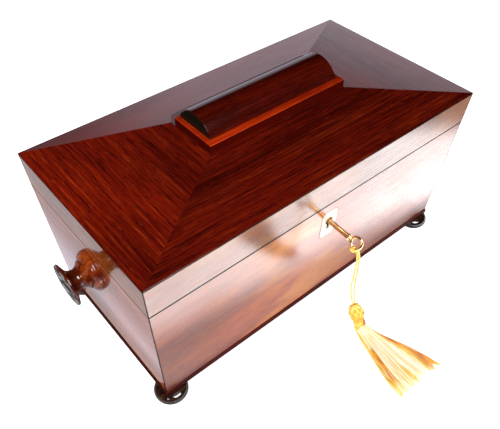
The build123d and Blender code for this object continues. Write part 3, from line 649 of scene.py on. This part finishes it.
def old_metal(name, bright, dull, seed, roughness=0.22, worn=0.5):
    """Old brass or iron: bright where it is handled, with brown tarnish in patches and fine draw marks.

    worn is how far the bright parts reach, from 0 to 1.
    """
    finish = Finish(name)
    start = finish.moved(finish.place, (seed, 0, 0))
    patches = finish.noise(finish.scaled(start, (190, 190, 190)), 5, 0.65, 0.5)
    specks = finish.noise(finish.scaled(start, (900, 900, 900)), 2, 0.6)
    tarnish = finish.fade(patches, worn - 0.1, worn + 0.16)
    colour = finish.mix(tarnish, bright, dull)
    colour = finish.mix(finish.fade(specks, 0.62, 0.7, 0.0, 0.6), colour, tuple(c * 0.4 for c in dull))
    rough = finish.fade(patches, 0.35, 0.7, roughness, roughness + 0.2)
    marks = finish.noise(finish.scaled(start, (2500, 160, 2500)), 2)
    finish.set(base_color=colour, roughness=rough, normal=finish.bump(marks, 0.02 * MM, 0.3), metallic=1.0)
    return finish.material


PLATE_CORNER = 3.0 * MM  # how much the escutcheon's cut corners take off each side
DIAGONAL = 0.707  # turns a difference in x plus z into a distance square to the cut corner


def bone(name, outline=False):
    """Polished bone: cream, with faint lengthwise lines and tiny brown pits. outline gives it a dark rim."""
    finish = Finish(name)
    lines = finish.noise(finish.scaled(finish.place, (900, 900, 60)), 3, 0.6)
    stain = finish.noise(finish.scaled(finish.place, (120, 120, 90)), 3, 0.6)
    pits = finish.noise(finish.scaled(finish.place, (2600, 2600, 700)), 1)
    colour = finish.ramp(lines, BONE_RAMP)
    colour = finish.mix(finish.fade(stain, 0.55, 0.8, 0.0, 0.45), colour, BONE_STAIN)
    colour = finish.mix(finish.fade(pits, 0.68, 0.74, 0.0, 0.7), colour, BONE_PIT)
    polish = 0.6
    if outline:
        low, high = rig.box("escutcheon")
        middle, half = (low + high) / 2, (high - low) / 2
        across, _, up = finish.parts(finish.moved(finish.place, tuple(-middle)))
        across, up = finish.size(across), finish.size(up)
        from_side, from_top = finish.maths("SUBTRACT", half.x, across), finish.maths("SUBTRACT", half.z, up)
        cut = finish.maths("SUBTRACT", half.x + half.z - PLATE_CORNER, finish.maths("ADD", across, up))
        rim = finish.maths("MINIMUM", from_side, from_top)
        rim = finish.maths("MINIMUM", rim, finish.times(cut, DIAGONAL))
        dark = finish.fade(rim, 0.5 * MM, 0.9 * MM, 0.9, 0.0)
        colour = finish.mix(dark, colour, BONE_RIM)
        colour = finish.mix(1.0, colour, (0.8, 0.8, 0.8), "MULTIPLY")
        polish = finish.fade(dark, 0.0, 0.9, 0.2, 0.0)
    finish.set(base_color=colour, roughness=0.28, normal=finish.bump(lines, 0.02 * MM, 0.3))
    finish.set(specular_ior_level=0.15 if outline else 0.5)
    finish.set(coat_weight=polish, coat_roughness=0.08, subsurface_weight=0.08, subsurface_scale=0.6 * MM)
    return finish.material


def tea_lead():
    """Dull grey lead foil with creases and a whitish bloom."""
    finish = Finish("tea_lead_foil")
    creases = finish.noise(finish.scaled(finish.place, (75, 75, 75)), 6, 0.62, 1.2)
    bloom = finish.noise(finish.scaled(finish.place, (38, 38, 38)), 4, 0.6)
    colour = finish.ramp(bloom, LEAD_RAMP)
    rough = finish.fade(bloom, 0.3, 0.8, 0.34, 0.62)
    finish.set(base_color=colour, roughness=rough, metallic=0.75)
    finish.set(normal=finish.bump(creases, 1.1 * MM, 0.55))
    return finish.material


def velvet():
    """Crimson velvet: a short pile, with soft strokes where it was brushed."""
    finish = Finish("crimson_velvet")
    strokes = finish.noise(finish.scaled(finish.place, (26, 70, 40)), 3, 0.5, 0.8)
    pile = finish.noise(finish.scaled(finish.place, (2600, 2600, 2600)), 2)
    finish.set(base_color=finish.ramp(strokes, VELVET_RAMP), roughness=0.9)
    finish.set(normal=finish.bump(pile, 0.3 * MM, 0.6))
    finish.set(sheen_weight=0.8, sheen_roughness=0.35, sheen_tint=(0.9, 0.35, 0.35, 1))
    return finish.material


def clear_glass():
    """Clear old glass with faint ripples."""
    finish = Finish("clear_old_glass")
    ripple = finish.noise(finish.scaled(finish.place, (45, 45, 70)), 2)
    finish.set(base_color=GLASS, roughness=0.02, transmission_weight=1.0)
    finish.set(ior=GLASS_IOR, normal=finish.bump(ripple, 0.4 * MM, 0.15))
    return finish.material


def silk(name, tones, scale, seed, shaded=False):
    """Silk: fine threads that catch the light. scale stretches the pattern along the threads.

    shaded silk has painted shade: it turns amber low on one side of the tassel's head.
    """
    finish = Finish(name)
    start = finish.moved(finish.place, (seed, seed, 0))
    strands = finish.noise(finish.scaled(start, scale), 3, 0.6)
    tint = finish.noise(finish.scaled(start, (90, 40, 90)), 2, 0.5)
    tone = finish.maths("MULTIPLY_ADD", strands, 0.65, finish.times(tint, 0.35))
    colour = finish.ramp(tone, list(zip(SILK_STOPS, tones)))
    # painted shade low on one side of the head
    if shaded:
        place = finish.moved(finish.place, tuple(-HEAD_TOP))
        aside = finish.fade(finish.dot(place, SHADED_SIDE), 6 * MM, 9.5 * MM)
        amber = finish.times(aside, finish.fade(finish.dot(place, HEAD_AXIS), 4 * MM, 8 * MM))
        colour = finish.mix(amber, colour, AMBER_TONES[0])
    finish.set(base_color=colour, roughness=0.42, normal=finish.bump(strands, 0.08 * MM, 0.5))
    finish.set(sheen_weight=0.3, sheen_roughness=0.3, sheen_tint=(1.0, 0.93, 0.62, 1))
    finish.set(specular_ior_level=0.4)
    return finish.material


def wear(node, material):
    """Give a CAD node a material in every one of its slots."""
    for place in nodes[node].material_slots:
        place.material = material


# painted light: lit and shaded copies of one roof veneer, one for each slope
ROOF_SHADES = {"front": 1.0, "back": 2.3, "left": 1.6, "right": 2.1}  # how light each slope is
FADED_ROOFS = ("back", "right")  # slopes whose streaks have faded


def dress_side(index, side):
    """One side's panel, fascia and moulding, and the roof slope above them."""
    long_side = side in ("front", "back")
    axis = "X" if long_side else "Y"
    low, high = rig.box(f"lid_{side}_fascia")
    case = dict(
        axis=axis, seed=3 + index, gloss=0.19 if long_side else 0.10, sway=0.016, bands=0.42,
        lines=((SEAM_Z, SEAM_HALF if long_side else SEAM_HALF * 0.8),),
        corner=(high - low)[0 if long_side else 1] / 2, flecks=0.35 if long_side else 0.1,
    )
    warm = (-0.02, 0.11) if side == "front" else None
    patches = 0.85 if long_side else 0.3
    wear(f"{side}_panel", veneer(f"{side}_veneer", tones=FRONT_TONES, patches=patches, warm=warm, **case))
    # the lid's fascia takes the panel's veneer at half its lightness, painted shade
    fascia = veneer(f"{side}_lid_veneer", tones=shifted(FRONT_TONES, 0.5), patches=0.7, **case)
    wear(f"lid_{side}_fascia", fascia)
    moulding = veneer(f"{side}_moulding_wood", axis, MOULDING_TONES, 11 + index, gloss=0.16, coat=0.12)
    wear(f"{side}_moulding", moulding)
    dark, middle, light, lightest = shifted(ROOF_TONES, ROOF_SHADES[side])
    faded = side in FADED_ROOFS
    tones = (dark, middle, middle, light) if faded else (dark, middle, light, lightest)
    # the roof boards' upright edges are darker, in the seam's shade and grime colour
    roof = dict(flecks=0.0 if faded else 0.35, upright=SHADE_AND_GRIME)
    wear(f"roof_{side}", veneer(f"{side}_roof_veneer", axis, tones, 21 + index, **roof))


def dress_top():
    """The ledge, with painted shade on its upright sides and a painted mauve reflection behind the barrel, and the
    dark barrel with a painted dark reflection on its ends.
    """
    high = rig.box("lid_barrel")[1]
    # painted shade on the ledge's upright sides, and a painted mauve reflection behind the barrel
    ledge = dict(upright=LEDGE_SIDE_SHADE, behind=(high.y, high.x + 4 * MM))
    wear("ledge_block", veneer("ledge_veneer", "X", SHELF_TONES, 31, **ledge))
    # the barrel's end faces get a painted dark reflection
    barrel = dict(gloss=0.11, bands=0.5, ends=BARREL_END_REFLECTION, coat=0.78)
    wear("lid_barrel", veneer("barrel_veneer", "X", shifted(ROOF_TONES, 0.65), 33, **barrel))


def dress_case():
    """The case's and lid's veneers, the mouldings, feet and handles."""
    for index, side in enumerate(SIDES):
        dress_side(index, side)
    dress_top()
    for side in ("left", "right"):
        face = abs(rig.box(f"{side}_handle_knob")[0 if side == "left" else 1].x)
        # where the painted reflection streaks on each end face begin and are whole
        streaked_face = (face - 2 * MM, face - 1.2 * MM)
        handle = turned_wood(f"{side}_handle_wood", HANDLE_TONES, 5.0, coat=0.8, streaked_face=streaked_face)
        wear(f"{side}_handle_knob", handle)
    for row in ("front", "back"):
        for side in ("left", "right"):
            foot = f"{row}_{side}_foot"
            wear(foot, turned_wood(foot + "_wood", FOOT_TONES, 9.0 + len(foot), gloss=0.1, coat=0.7))


def dress_fittings():
    """The lock, hinges, key, escutcheon and everything inside."""
    lock_brass = old_metal("worn_lock_brass", *LOCK_BRASS, 2.0)
    iron = old_metal("iron_screw_heads", *IRON, 4.0, roughness=0.35)
    key_brass = old_metal("darkened_key_brass", *KEY_BRASS, 7.0, roughness=0.16, worn=0.56)
    for node in ("lock_case", "lock_bolt", "link_plate", "lock_spring", "lock_pin", "hinge_pins"):
        wear(node, lock_brass)
    for side in ("left", "right"):
        wear(f"{side}_hinge_case_leaf", lock_brass)
        wear(f"{side}_hinge_lid_leaf", lock_brass)
    for node in ("lock_screws", "link_plate_screws", "case_hinge_screws", "lid_hinge_screws"):
        wear(node, iron)
    wear("key", key_brass)
    wear("escutcheon", bone("inlaid_bone", outline=True))
    mahogany = veneer("mahogany_fittings", "Y", MAHOGANY_TONES, 41, gloss=0.2)
    for node in ("left_partition", "right_partition", "bottom_board"):
        wear(node, mahogany)
    wear("well_board", veneer("well_veneer", "X", FRONT_TONES, 43, gloss=0.12))
    lead, bone_knob = tea_lead(), bone("turned_bone")
    for side in ("left", "right"):
        wear(f"{side}_lip", mahogany)
        wear(f"{side}_tea_lining", lead)
        wear(f"{side}_tea_cover", veneer(f"{side}_cover_veneer", "Y", FRONT_TONES, 45 + len(side)))
        wear(f"{side}_tea_cover_knob", bone_knob)
    wear("front_lip", veneer("front_lip_wood", "X", MAHOGANY_TONES, 51, gloss=0.2))
    wear("mixing_bowl", clear_glass())
    wear("lid_liner", velvet())


# Tassel

STRAND_DIAMETER = 1.4 * MM
PLY_RADIUS = 0.50 * MM
PLY_OFF = 0.28 * MM
PLY_PITCH = 3.6 * MM
STRAND_ROUTES = {  # in millimetres, from the knot down to the head
    "a": [
        (1.2, -107.9, 94.2), (3.2, -108.2, 91.4), (5.6, -108.4, 80.0), (4.4, -109.0, 64.0),
        (2.6, -109.6, 50.0), (5.8, -110.2, 34.5), (9.0, -110.9, 22.4),
    ],
    "b": [
        (1.9, -108.1, 95.4), (4.9, -108.4, 91.8), (7.5, -108.8, 80.0), (7.8, -109.2, 66.0),
        (6.8, -109.8, 51.5), (8.2, -110.4, 36.5), (10.9, -110.9, 22.4),
    ],
}
HEAD_TOP = Vector((10.0, -110.8, 22.4)) * MM
HEAD_AXIS = Vector((-0.146, -0.677, -0.719)).normalized()
# the side of the head where amber is painted as shade
SHADED_SIDE = Vector((0.80, -0.48, -0.36)).normalized()
KNOT_TURNS = ((0.0, 0.92), (0.9, 0.78), (1.9, 0.86), (2.6, 0.66), (1.3, 0.5))  # each turn's tilt and size
KNOT_STEPS = 40
NET_CORDS = 7  # doubled cords each way in the net over the head
NET_STEPS = 36
NET_TURN = 1.7  # how far round the head each cord of the net goes, in radians
NET_TOP = 0.4  # how far down the head the net begins, in millimetres
NET_HEIGHT = 14.0  # in millimetres
NECK_DOWN = 13.6  # how far down the head the neck's winding begins, in millimetres
NECK_PITCH = 0.8
NECK_TURNS = 5
NECK_STEPS = 28
CROWN_TIERS = 3
CROWN_PITCH = 0.9
CROWN_STEPS = 24
CORE_STEPS = 24
CORE_LENGTH = 18.4
CORE_DEPTH = 0.75  # how far the padding lies under the head's surface, in millimetres


def make_strand(name, silk_cord):
    """One limp two-ply cord from the knot to the tassel's head. It follows the key's ring at its top."""
    centre = smooth_route([Vector(point) * MM for point in STRAND_ROUTES[name]])
    plies = [(line, PLY_RADIUS) for line in twisted(centre, 2, PLY_OFF, PLY_PITCH)]
    strand = tubes(f"silk_strand_{name}", plies, 8)
    strand.data.materials.append(silk_cord)
    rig.replaces(strand, f"tassel_strand_{name}")
    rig.slot(strand, "silk")
    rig.blend(strand, "key", "case", start=centre[0], end=centre[len(centre) // 3])
    return strand, centre


def make_knot(silk_cord):
    """A small hitch: cord wound round the ring's wire and round itself."""
    low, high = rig.box("tassel_knot")
    middle, radius = (low + high) / 2, (high - low).length / 2 / math.sqrt(3)
    runs = []
    for turn, (tilt, size) in enumerate(KNOT_TURNS):
        line = []
        for step in range(KNOT_STEPS + 1):
            angle = 2 * math.pi * step / KNOT_STEPS * 1.02
            point = Vector((math.cos(angle), math.sin(angle), 0.28 * math.sin(2 * angle + turn)))
            point *= (radius - 0.62 * MM) * size
            point.rotate(Matrix.Rotation(tilt, 3, "X"))
            point.rotate(Matrix.Rotation(turn * 1.1, 3, "Z"))
            line.append(middle + point)
        runs += [(ply, 0.44 * MM) for ply in twisted(line, 2, 0.34 * MM, 2.8 * MM)]
    knot = tubes("silk_knot", runs, 6)
    knot.data.materials.append(silk_cord)
    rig.replaces(knot, "tassel_knot")
    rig.slot(knot, "silk")
    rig.ride(knot, "key")
    return knot


def head_radius(down):
    """The head's radius in millimetres, so many millimetres down its axis."""
    if down < 14.4:
        return 1.9 + 4.0 * math.sin(math.pi * min(1.0, (down + 1.2) / 16.6)) ** 0.8
    return 4.6


def head_point(across, over, down, radius):
    """A point in or on the head, down millimetres along it: across and over run from -1 to 1 on a disc."""
    level = HEAD_AXIS.cross(UP).normalized()
    out = level * across + HEAD_AXIS.cross(level) * over
    return HEAD_TOP + HEAD_AXIS * (down * MM) + out * (radius * MM)


def round_head(angle, down, lift=0.0):
    """A point on the head's surface, lift millimetres above it."""
    return head_point(math.cos(angle), math.sin(angle), down, head_radius(down) + lift)


def make_head(silk_cord, silk_core):
    """The bound head: a padded bulb under a net of doubled cord, with cord wound round its top and neck."""
    runs = []
    for hand in (-1, 1):
        for index in range(NET_CORDS):
            line = []
            for step in range(NET_STEPS + 1):
                share = step / NET_STEPS
                weave = 0.34 * math.sin(2 * math.pi * 3 * share + math.pi * index) * hand
                angle = 2 * math.pi * index / NET_CORDS + hand * NET_TURN * share
                line.append(round_head(angle, NET_TOP + NET_HEIGHT * share, weave - 0.3))
            runs += [(ply, 0.5 * MM) for ply in twisted(line, 2, 0.42 * MM, 3.4 * MM)]
    winding = []
    for step in range(NECK_TURNS * NECK_STEPS + 1):
        down = NECK_DOWN + NECK_PITCH * step / NECK_STEPS
        winding.append(round_head(2 * math.pi * step / NECK_STEPS, down, -0.1))
    runs.append((winding, 0.5 * MM))
    for tier in range(CROWN_TIERS):
        angles = [2 * math.pi * step / CROWN_STEPS for step in range(CROWN_STEPS + 1)]
        runs.append(([round_head(angle, NET_TOP + CROWN_PITCH * tier) for angle in angles], 0.55 * MM))
    cords = len(runs)
    places = [CORE_LENGTH * step / CORE_STEPS for step in range(CORE_STEPS + 1)]
    core = [HEAD_TOP + HEAD_AXIS * (down * MM) for down in places]
    runs.append((core, [max(0.4, head_radius(down) - CORE_DEPTH) * MM for down in places]))
    for line, _ in runs:
        for point in line:
            point.z = max(point.z, 0.7 * MM)
    head = tubes("silk_head", runs, 8, tint=lambda run, share: int(run >= cords))
    for material in (silk_cord, silk_core):
        head.data.materials.append(material)
    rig.replaces(head, "tassel_head")
    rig.slot(head, "silk")
    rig.ride(head, "case")
    return head


FAN = [  # how far forward, left edge, right edge, underside, height, all in millimetres
    (-118.5, 3.2, 12.6, 6.0, 9.0),
    (-122.6, 2.8, 12.2, 4.6, 8.4),
    (-129.0, 1.2, 14.4, 1.6, 8.6),
    (-138.0, -1.0, 18.2, 0.0, 7.8),
    (-148.0, -4.0, 22.4, 0.0, 6.8),
    (-160.0, -8.0, 27.0, 0.0, 5.4),
    (-174.0, -11.6, 31.4, 0.0, 3.8),
    (-188.0, -13.4, 34.6, 0.0, 2.0),
]
THREADS = 760
THREAD_RADIUS = 0.19  # in millimetres
THREAD_TIP = 0.7  # how thick a thread's end is, as a share of its radius
THREAD_STEPS = 16
THREAD_BEND = 0.035  # how far a thread strays to a side, as a share of the fan's width
COLUMNS = 152
LOCKS = 9  # ridges that the threads gather in, across the fan
ROOT_DOWN = 12.8  # how far down the head the threads begin, in millimetres
ROOT_RADIUS = 5.0

# Parts of the fan in golden and amber copies of the silk, with painted shade, as shares of its width from left to
# right or of a thread's length
AMBER_EDGE = 0.86
AMBER_LOCK = 0.11
AMBER_LOCK_HALF = 0.045
GOLDEN_LEFT = 0.05
GOLDEN_RIGHT = 0.78
GOLDEN_ROOT = 0.16
GOLDEN_END = 0.82


def fan_at(share):
    """The fan's forward place, edges, underside and height, at a share of the way from head to ends."""
    place = share * (len(FAN) - 1)
    index = min(int(place), len(FAN) - 2)
    part = place - index
    return [a + (b - a) * part for a, b in zip(FAN[index], FAN[index + 1])]


def crown(across):
    """How full the fan is across its width, 1 in the middle."""
    return math.sin(math.pi * (0.08 + 0.84 * across)) ** 0.7


def thread_tint(across, share, chance):
    """Which silk a stretch of thread shows: 0 pale, lit with painted light; 1 golden; 2 amber. Golden and amber give
    painted shade toward the fan's edges and root and along one lock; golden also falls at random.
    """
    edge = across > AMBER_EDGE - 0.04 * share and share < 0.94
    lock = abs(across - AMBER_LOCK) < AMBER_LOCK_HALF and 0.5 < share < 0.93
    if (edge or lock) and chance < 0.85:
        return 2
    near_head, near_end = share < GOLDEN_ROOT, share > GOLDEN_END and across < 0.5
    golden = edge or lock or near_head or across > GOLDEN_RIGHT or across < GOLDEN_LEFT
    return int(golden or chance < (0.6 if near_end else 0.22))


def make_skirt(silks):
    """The fan of loose threads: many fine strands that leave the head and spread over the table."""
    chance = random.Random(7)
    radius = THREAD_RADIUS * MM
    radii = [radius] * (THREAD_STEPS - 2) + [radius * THREAD_TIP] * 2
    runs, seen = [], []
    for index in range(THREADS):
        across = (index % COLUMNS + chance.random()) / COLUMNS
        layer = (index // COLUMNS + chance.random()) / (THREADS / COLUMNS)
        bend = chance.uniform(-THREAD_BEND, THREAD_BEND)
        reach = 1.0 - 0.10 * chance.random() ** 2 - 0.05 * math.sin(across * 19) ** 2
        phase = chance.random() * 6.28
        side = 2 * across - 1
        line = [head_point(side, (1 - 2 * layer) * math.sqrt(1 - side * side), ROOT_DOWN, ROOT_RADIUS)]
        for step in range(1, THREAD_STEPS):
            share = step / (THREAD_STEPS - 1) * reach
            forward, left, right, under, height = fan_at(share)
            here = min(max(across + bend * share + 0.008 * math.sin(7 * share + phase), 0.0), 1.0)
            lock = 0.82 + 0.18 * abs(math.sin(math.pi * (across * LOCKS + 0.25 * math.sin(4 * share))))
            level = under + THREAD_RADIUS + (height * crown(here) * lock - 2 * THREAD_RADIUS) * layer ** 0.7
            level = max(level, THREAD_RADIUS * 1.2)
            line.append(Vector((left + (right - left) * here, forward, level)) * MM)
        runs.append((line, radii))
        seen.append((across, chance.random()))

    def tint(run, share):
        across, luck = seen[run]
        return thread_tint(across, share, luck)

    skirt = tubes("silk_skirt", runs, 4, tint)
    for material in silks:
        skirt.data.materials.append(material)
    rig.replaces(skirt, "tassel_skirt")
    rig.slot(skirt, "silk")
    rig.ride(skirt, "case")
    return skirt


def make_tassel():
    """The knot, two cords, head and fan of threads."""
    silk_cord = silk("golden_silk_cord", SILK_TONES, (700, 700, 700), 1.0, shaded=True)
    # the padding between the net's cords is a darker copy of the cord's silk, painted shade
    silk_core = silk("deep_golden_silk", shifted(SILK_TONES, 0.85), (700, 700, 700), 3.0)
    # lit and shaded copies of the silk for the fan's threads, painted light and shade
    pale = silk("pale_silk_threads", PALE_TONES, (900, 60, 900), 2.0)
    golden = silk("golden_silk_threads", SILK_TONES, (900, 60, 900), 2.0)
    amber = silk("amber_silk_threads", AMBER_TONES, (900, 60, 900), 2.0)
    knot, head = make_knot(silk_cord), make_head(silk_cord, silk_core)
    make_skirt((pale, golden, amber))
    for name, pieces in (("a", [knot, head]), ("b", [head])):
        strand, centre = make_strand(name, silk_cord)
        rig.cord(
            strand, exit=centre[0], length=route_length(centre), diameter=STRAND_DIAMETER,
            far_end="fitting", stiffness="limp", lay="hanging", path=centre, with_pieces=pieces,
        )


# Stage and light

TABLE_REACH = 4.0  # from the middle to each edge
TABLE_DROP = 0.2 * MM  # how far the table lies below the feet, so that the two don't flicker
TABLE_GREY = 0.62

# What polish sees of the table. A pair says where a change begins and ends, in metres forward or right
TABLE_GLOW = 0.15
UNDER_GLOW = 0.75
LEFT_EDGE = (0.158, 0.176)  # to the left, where the glow falls from UNDER_GLOW to TABLE_GLOW
SUNLIT = 5.6
SUN_BASE = 0.5
SUN_NEAR = (0.075, 0.092)
SUN_FAR = (0.22, 0.32)
SUN_LEFT = (-0.20, -0.17)
SUN_SLANT = (4.3, 0.6)  # how much each metre forward and each metre right adds to what SUN_RISE tests
SUN_RISE = (0.42, 0.55)
SUN_END = (0.385, 0.465)  # metres forward and right added up
COOL_GLOW = (0.94, 0.95, 1.22)
CONTACT_REACH = 7 * MM  # how far beyond the feet the shade reaches
CONTACT_DARK = 0.1


def make_floor():
    """A white table. Polish sees its glow, a painted reflection: grey, with painted shade close to the case, and
    painted sunlight in front, more to the right.
    """
    corners = [Vector(corner) * TABLE_REACH for corner in ((-1, -1, 0), (1, -1, 0), (1, 1, 0), (-1, 1, 0))]
    floor = new_mesh("table", [corner - UP * TABLE_DROP for corner in corners], [(0, 1, 2, 3)], smooth=False)
    finish = Finish("white_table")
    rays = finish.tree.nodes.new("ShaderNodeLightPath").outputs
    across, along_y, _ = finish.parts(finish.place)
    front = finish.times(along_y, -1.0)
    lit = finish.maths("MULTIPLY_ADD", front, SUN_SLANT[0], finish.times(across, SUN_SLANT[1]))
    lit = finish.fade(lit, *SUN_RISE, SUN_BASE, SUNLIT)
    dim = finish.fade(finish.maths("ADD", front, across), *SUN_END, 1.0, 0.02)
    clouds = finish.fade(finish.noise(finish.scaled(finish.place, (18, 34, 1)), 2), 0.35, 0.65, 0.85, 1.1)
    sunny = finish.times(finish.fade(front, *SUN_NEAR), finish.fade(front, *SUN_FAR, 1.0, 0.0))
    sunny = finish.times(sunny, finish.fade(across, *SUN_LEFT))
    beside = finish.fade(finish.times(across, -1.0), *LEFT_EDGE, UNDER_GLOW, TABLE_GLOW)
    glow = finish.blend(sunny, beside, finish.times(lit, dim, clouds))
    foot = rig.box("front_left_foot")[0]
    out_x = finish.maths("MAXIMUM", finish.maths("ADD", finish.size(across), foot.x), 0.0)
    out_y = finish.maths("MAXIMUM", finish.maths("ADD", finish.size(along_y), foot.y), 0.0)
    off = finish.maths("POWER", finish.maths("MULTIPLY_ADD", out_x, out_x, finish.times(out_y, out_y)), 0.5)
    # painted shade close to the case
    glow = finish.times(glow, finish.fade(off, 0.0, CONTACT_REACH, CONTACT_DARK, 1.0))
    clear = finish.maths("MAXIMUM", rays["Is Camera Ray"], rays["Is Transmission Ray"])
    glow = finish.blend(clear, finish.times(glow, rays["Is Glossy Ray"]), 1.0)
    cool = finish.times(rays["Is Glossy Ray"], finish.maths("SUBTRACT", 1.0, sunny))
    finish.set(base_color=(*(TABLE_GREY,) * 3, 1), roughness=0.9, specular_ior_level=0.0)
    finish.set(emission_color=finish.mix(cool, (1, 1, 1), COOL_GLOW), emission_strength=glow)
    floor.data.materials.append(finish.material)
    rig.stage(floor)


# What polish sees of the room. A pair says where a change begins and ends, as X, Y or Z of a direction
CEILING = 0.004
ROOM_GLOW = 0.03
CEILING_EDGE = (0.25, 0.50)
WINDOW_GLOW = 0.95
WINDOW_LEFT = (0.25, 0.50)
WINDOW_NEAR = (0.1, 0.3)
WINDOW_TOP = (0.14, 0.40)
WINDOW_BRIGHT = (0.6, 0.8)
COOL_ROOM = (0.96, 0.96, 1.08)
WORLD_FILL = 0.25


def make_world():
    """Even soft light. Polish sees a dim room, a cool window wall low behind, and a dark ceiling."""
    world = bpy.data.worlds.new("soft_room")
    world.use_nodes = True
    bpy.context.scene.world = world
    room = Nodes(world.node_tree)
    rays = room.tree.nodes.new("ShaderNodeLightPath").outputs
    x, y, z = room.parts(room.add("TexCoord", output="Generated"))
    level = room.fade(z, *CEILING_EDGE, ROOM_GLOW, CEILING)
    window = room.times(room.fade(x, *WINDOW_LEFT, 0.25, 1.0), room.fade(y, *WINDOW_NEAR))
    window = room.times(window, room.fade(z, *WINDOW_TOP, 1.0, 0.0), room.fade(x, *WINDOW_BRIGHT, 1.0, 1.5))
    seen = room.maths("MAXIMUM", level, room.times(window, WINDOW_GLOW))
    soft = room.blend(rays["Is Glossy Ray"], WORLD_FILL, seen)
    clear = room.maths("MAXIMUM", rays["Is Camera Ray"], rays["Is Transmission Ray"])
    background = room.tree.nodes["Background"].inputs
    room.feed(background["Strength"], room.blend(clear, soft, 1.0))
    room.feed(background["Color"], room.mix(rays["Is Glossy Ray"], (1.0, 1.0, 1.0), COOL_ROOM))


def lamp(name, place, target, size, power, only_gloss=False):
    """A square soft lamp that the camera doesn't see. Polish sees it only when it is for that alone."""
    light = bpy.data.lights.new(name, "AREA")
    light.size = size
    light.energy = power
    lit = bpy.data.objects.new(name, light)
    away = (Vector(place) - Vector(target)).normalized()
    lit.matrix_world = Matrix.Translation(place) @ away.to_track_quat("Z", "Y").to_matrix().to_4x4()
    lit.visible_camera = False
    lit.visible_diffuse = lit.visible_transmission = not only_gloss
    lit.visible_glossy = only_gloss
    bpy.context.scene.collection.objects.link(lit)


def make_lights():
    """A soft key from the left, a low front fill, and two lamps that only polish sees."""
    lamp("left_key", (-0.60, -0.25, 0.75), (0, 0, 0.1), 0.5, 9.0)
    lamp("front_fill", (0.20, -1.25, 0.12), (0, 0, 0.08), 0.8, 20.0)
    lamp("soft_box", (0.05, -0.75, 1.15), (0, 0, 0.1), 0.7, 40.0, only_gloss=True)
    lamp("glint", (-0.71, -0.44, 0.60), (0, 0, 0.1), 0.14, 1.4, only_gloss=True)


make_camera()
make_tassel()
dress_case()
dress_fittings()
make_floor()
make_world()
make_lights()
bpy.context.scene.view_settings.view_transform = "Standard"

with open("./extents.json", "w") as file:
    boxes = {"cad": cad_box, "visual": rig.bounds()}
    json.dump({name: [[float(x) for x in corner] for corner in box] for name, box in boxes.items()}, file)
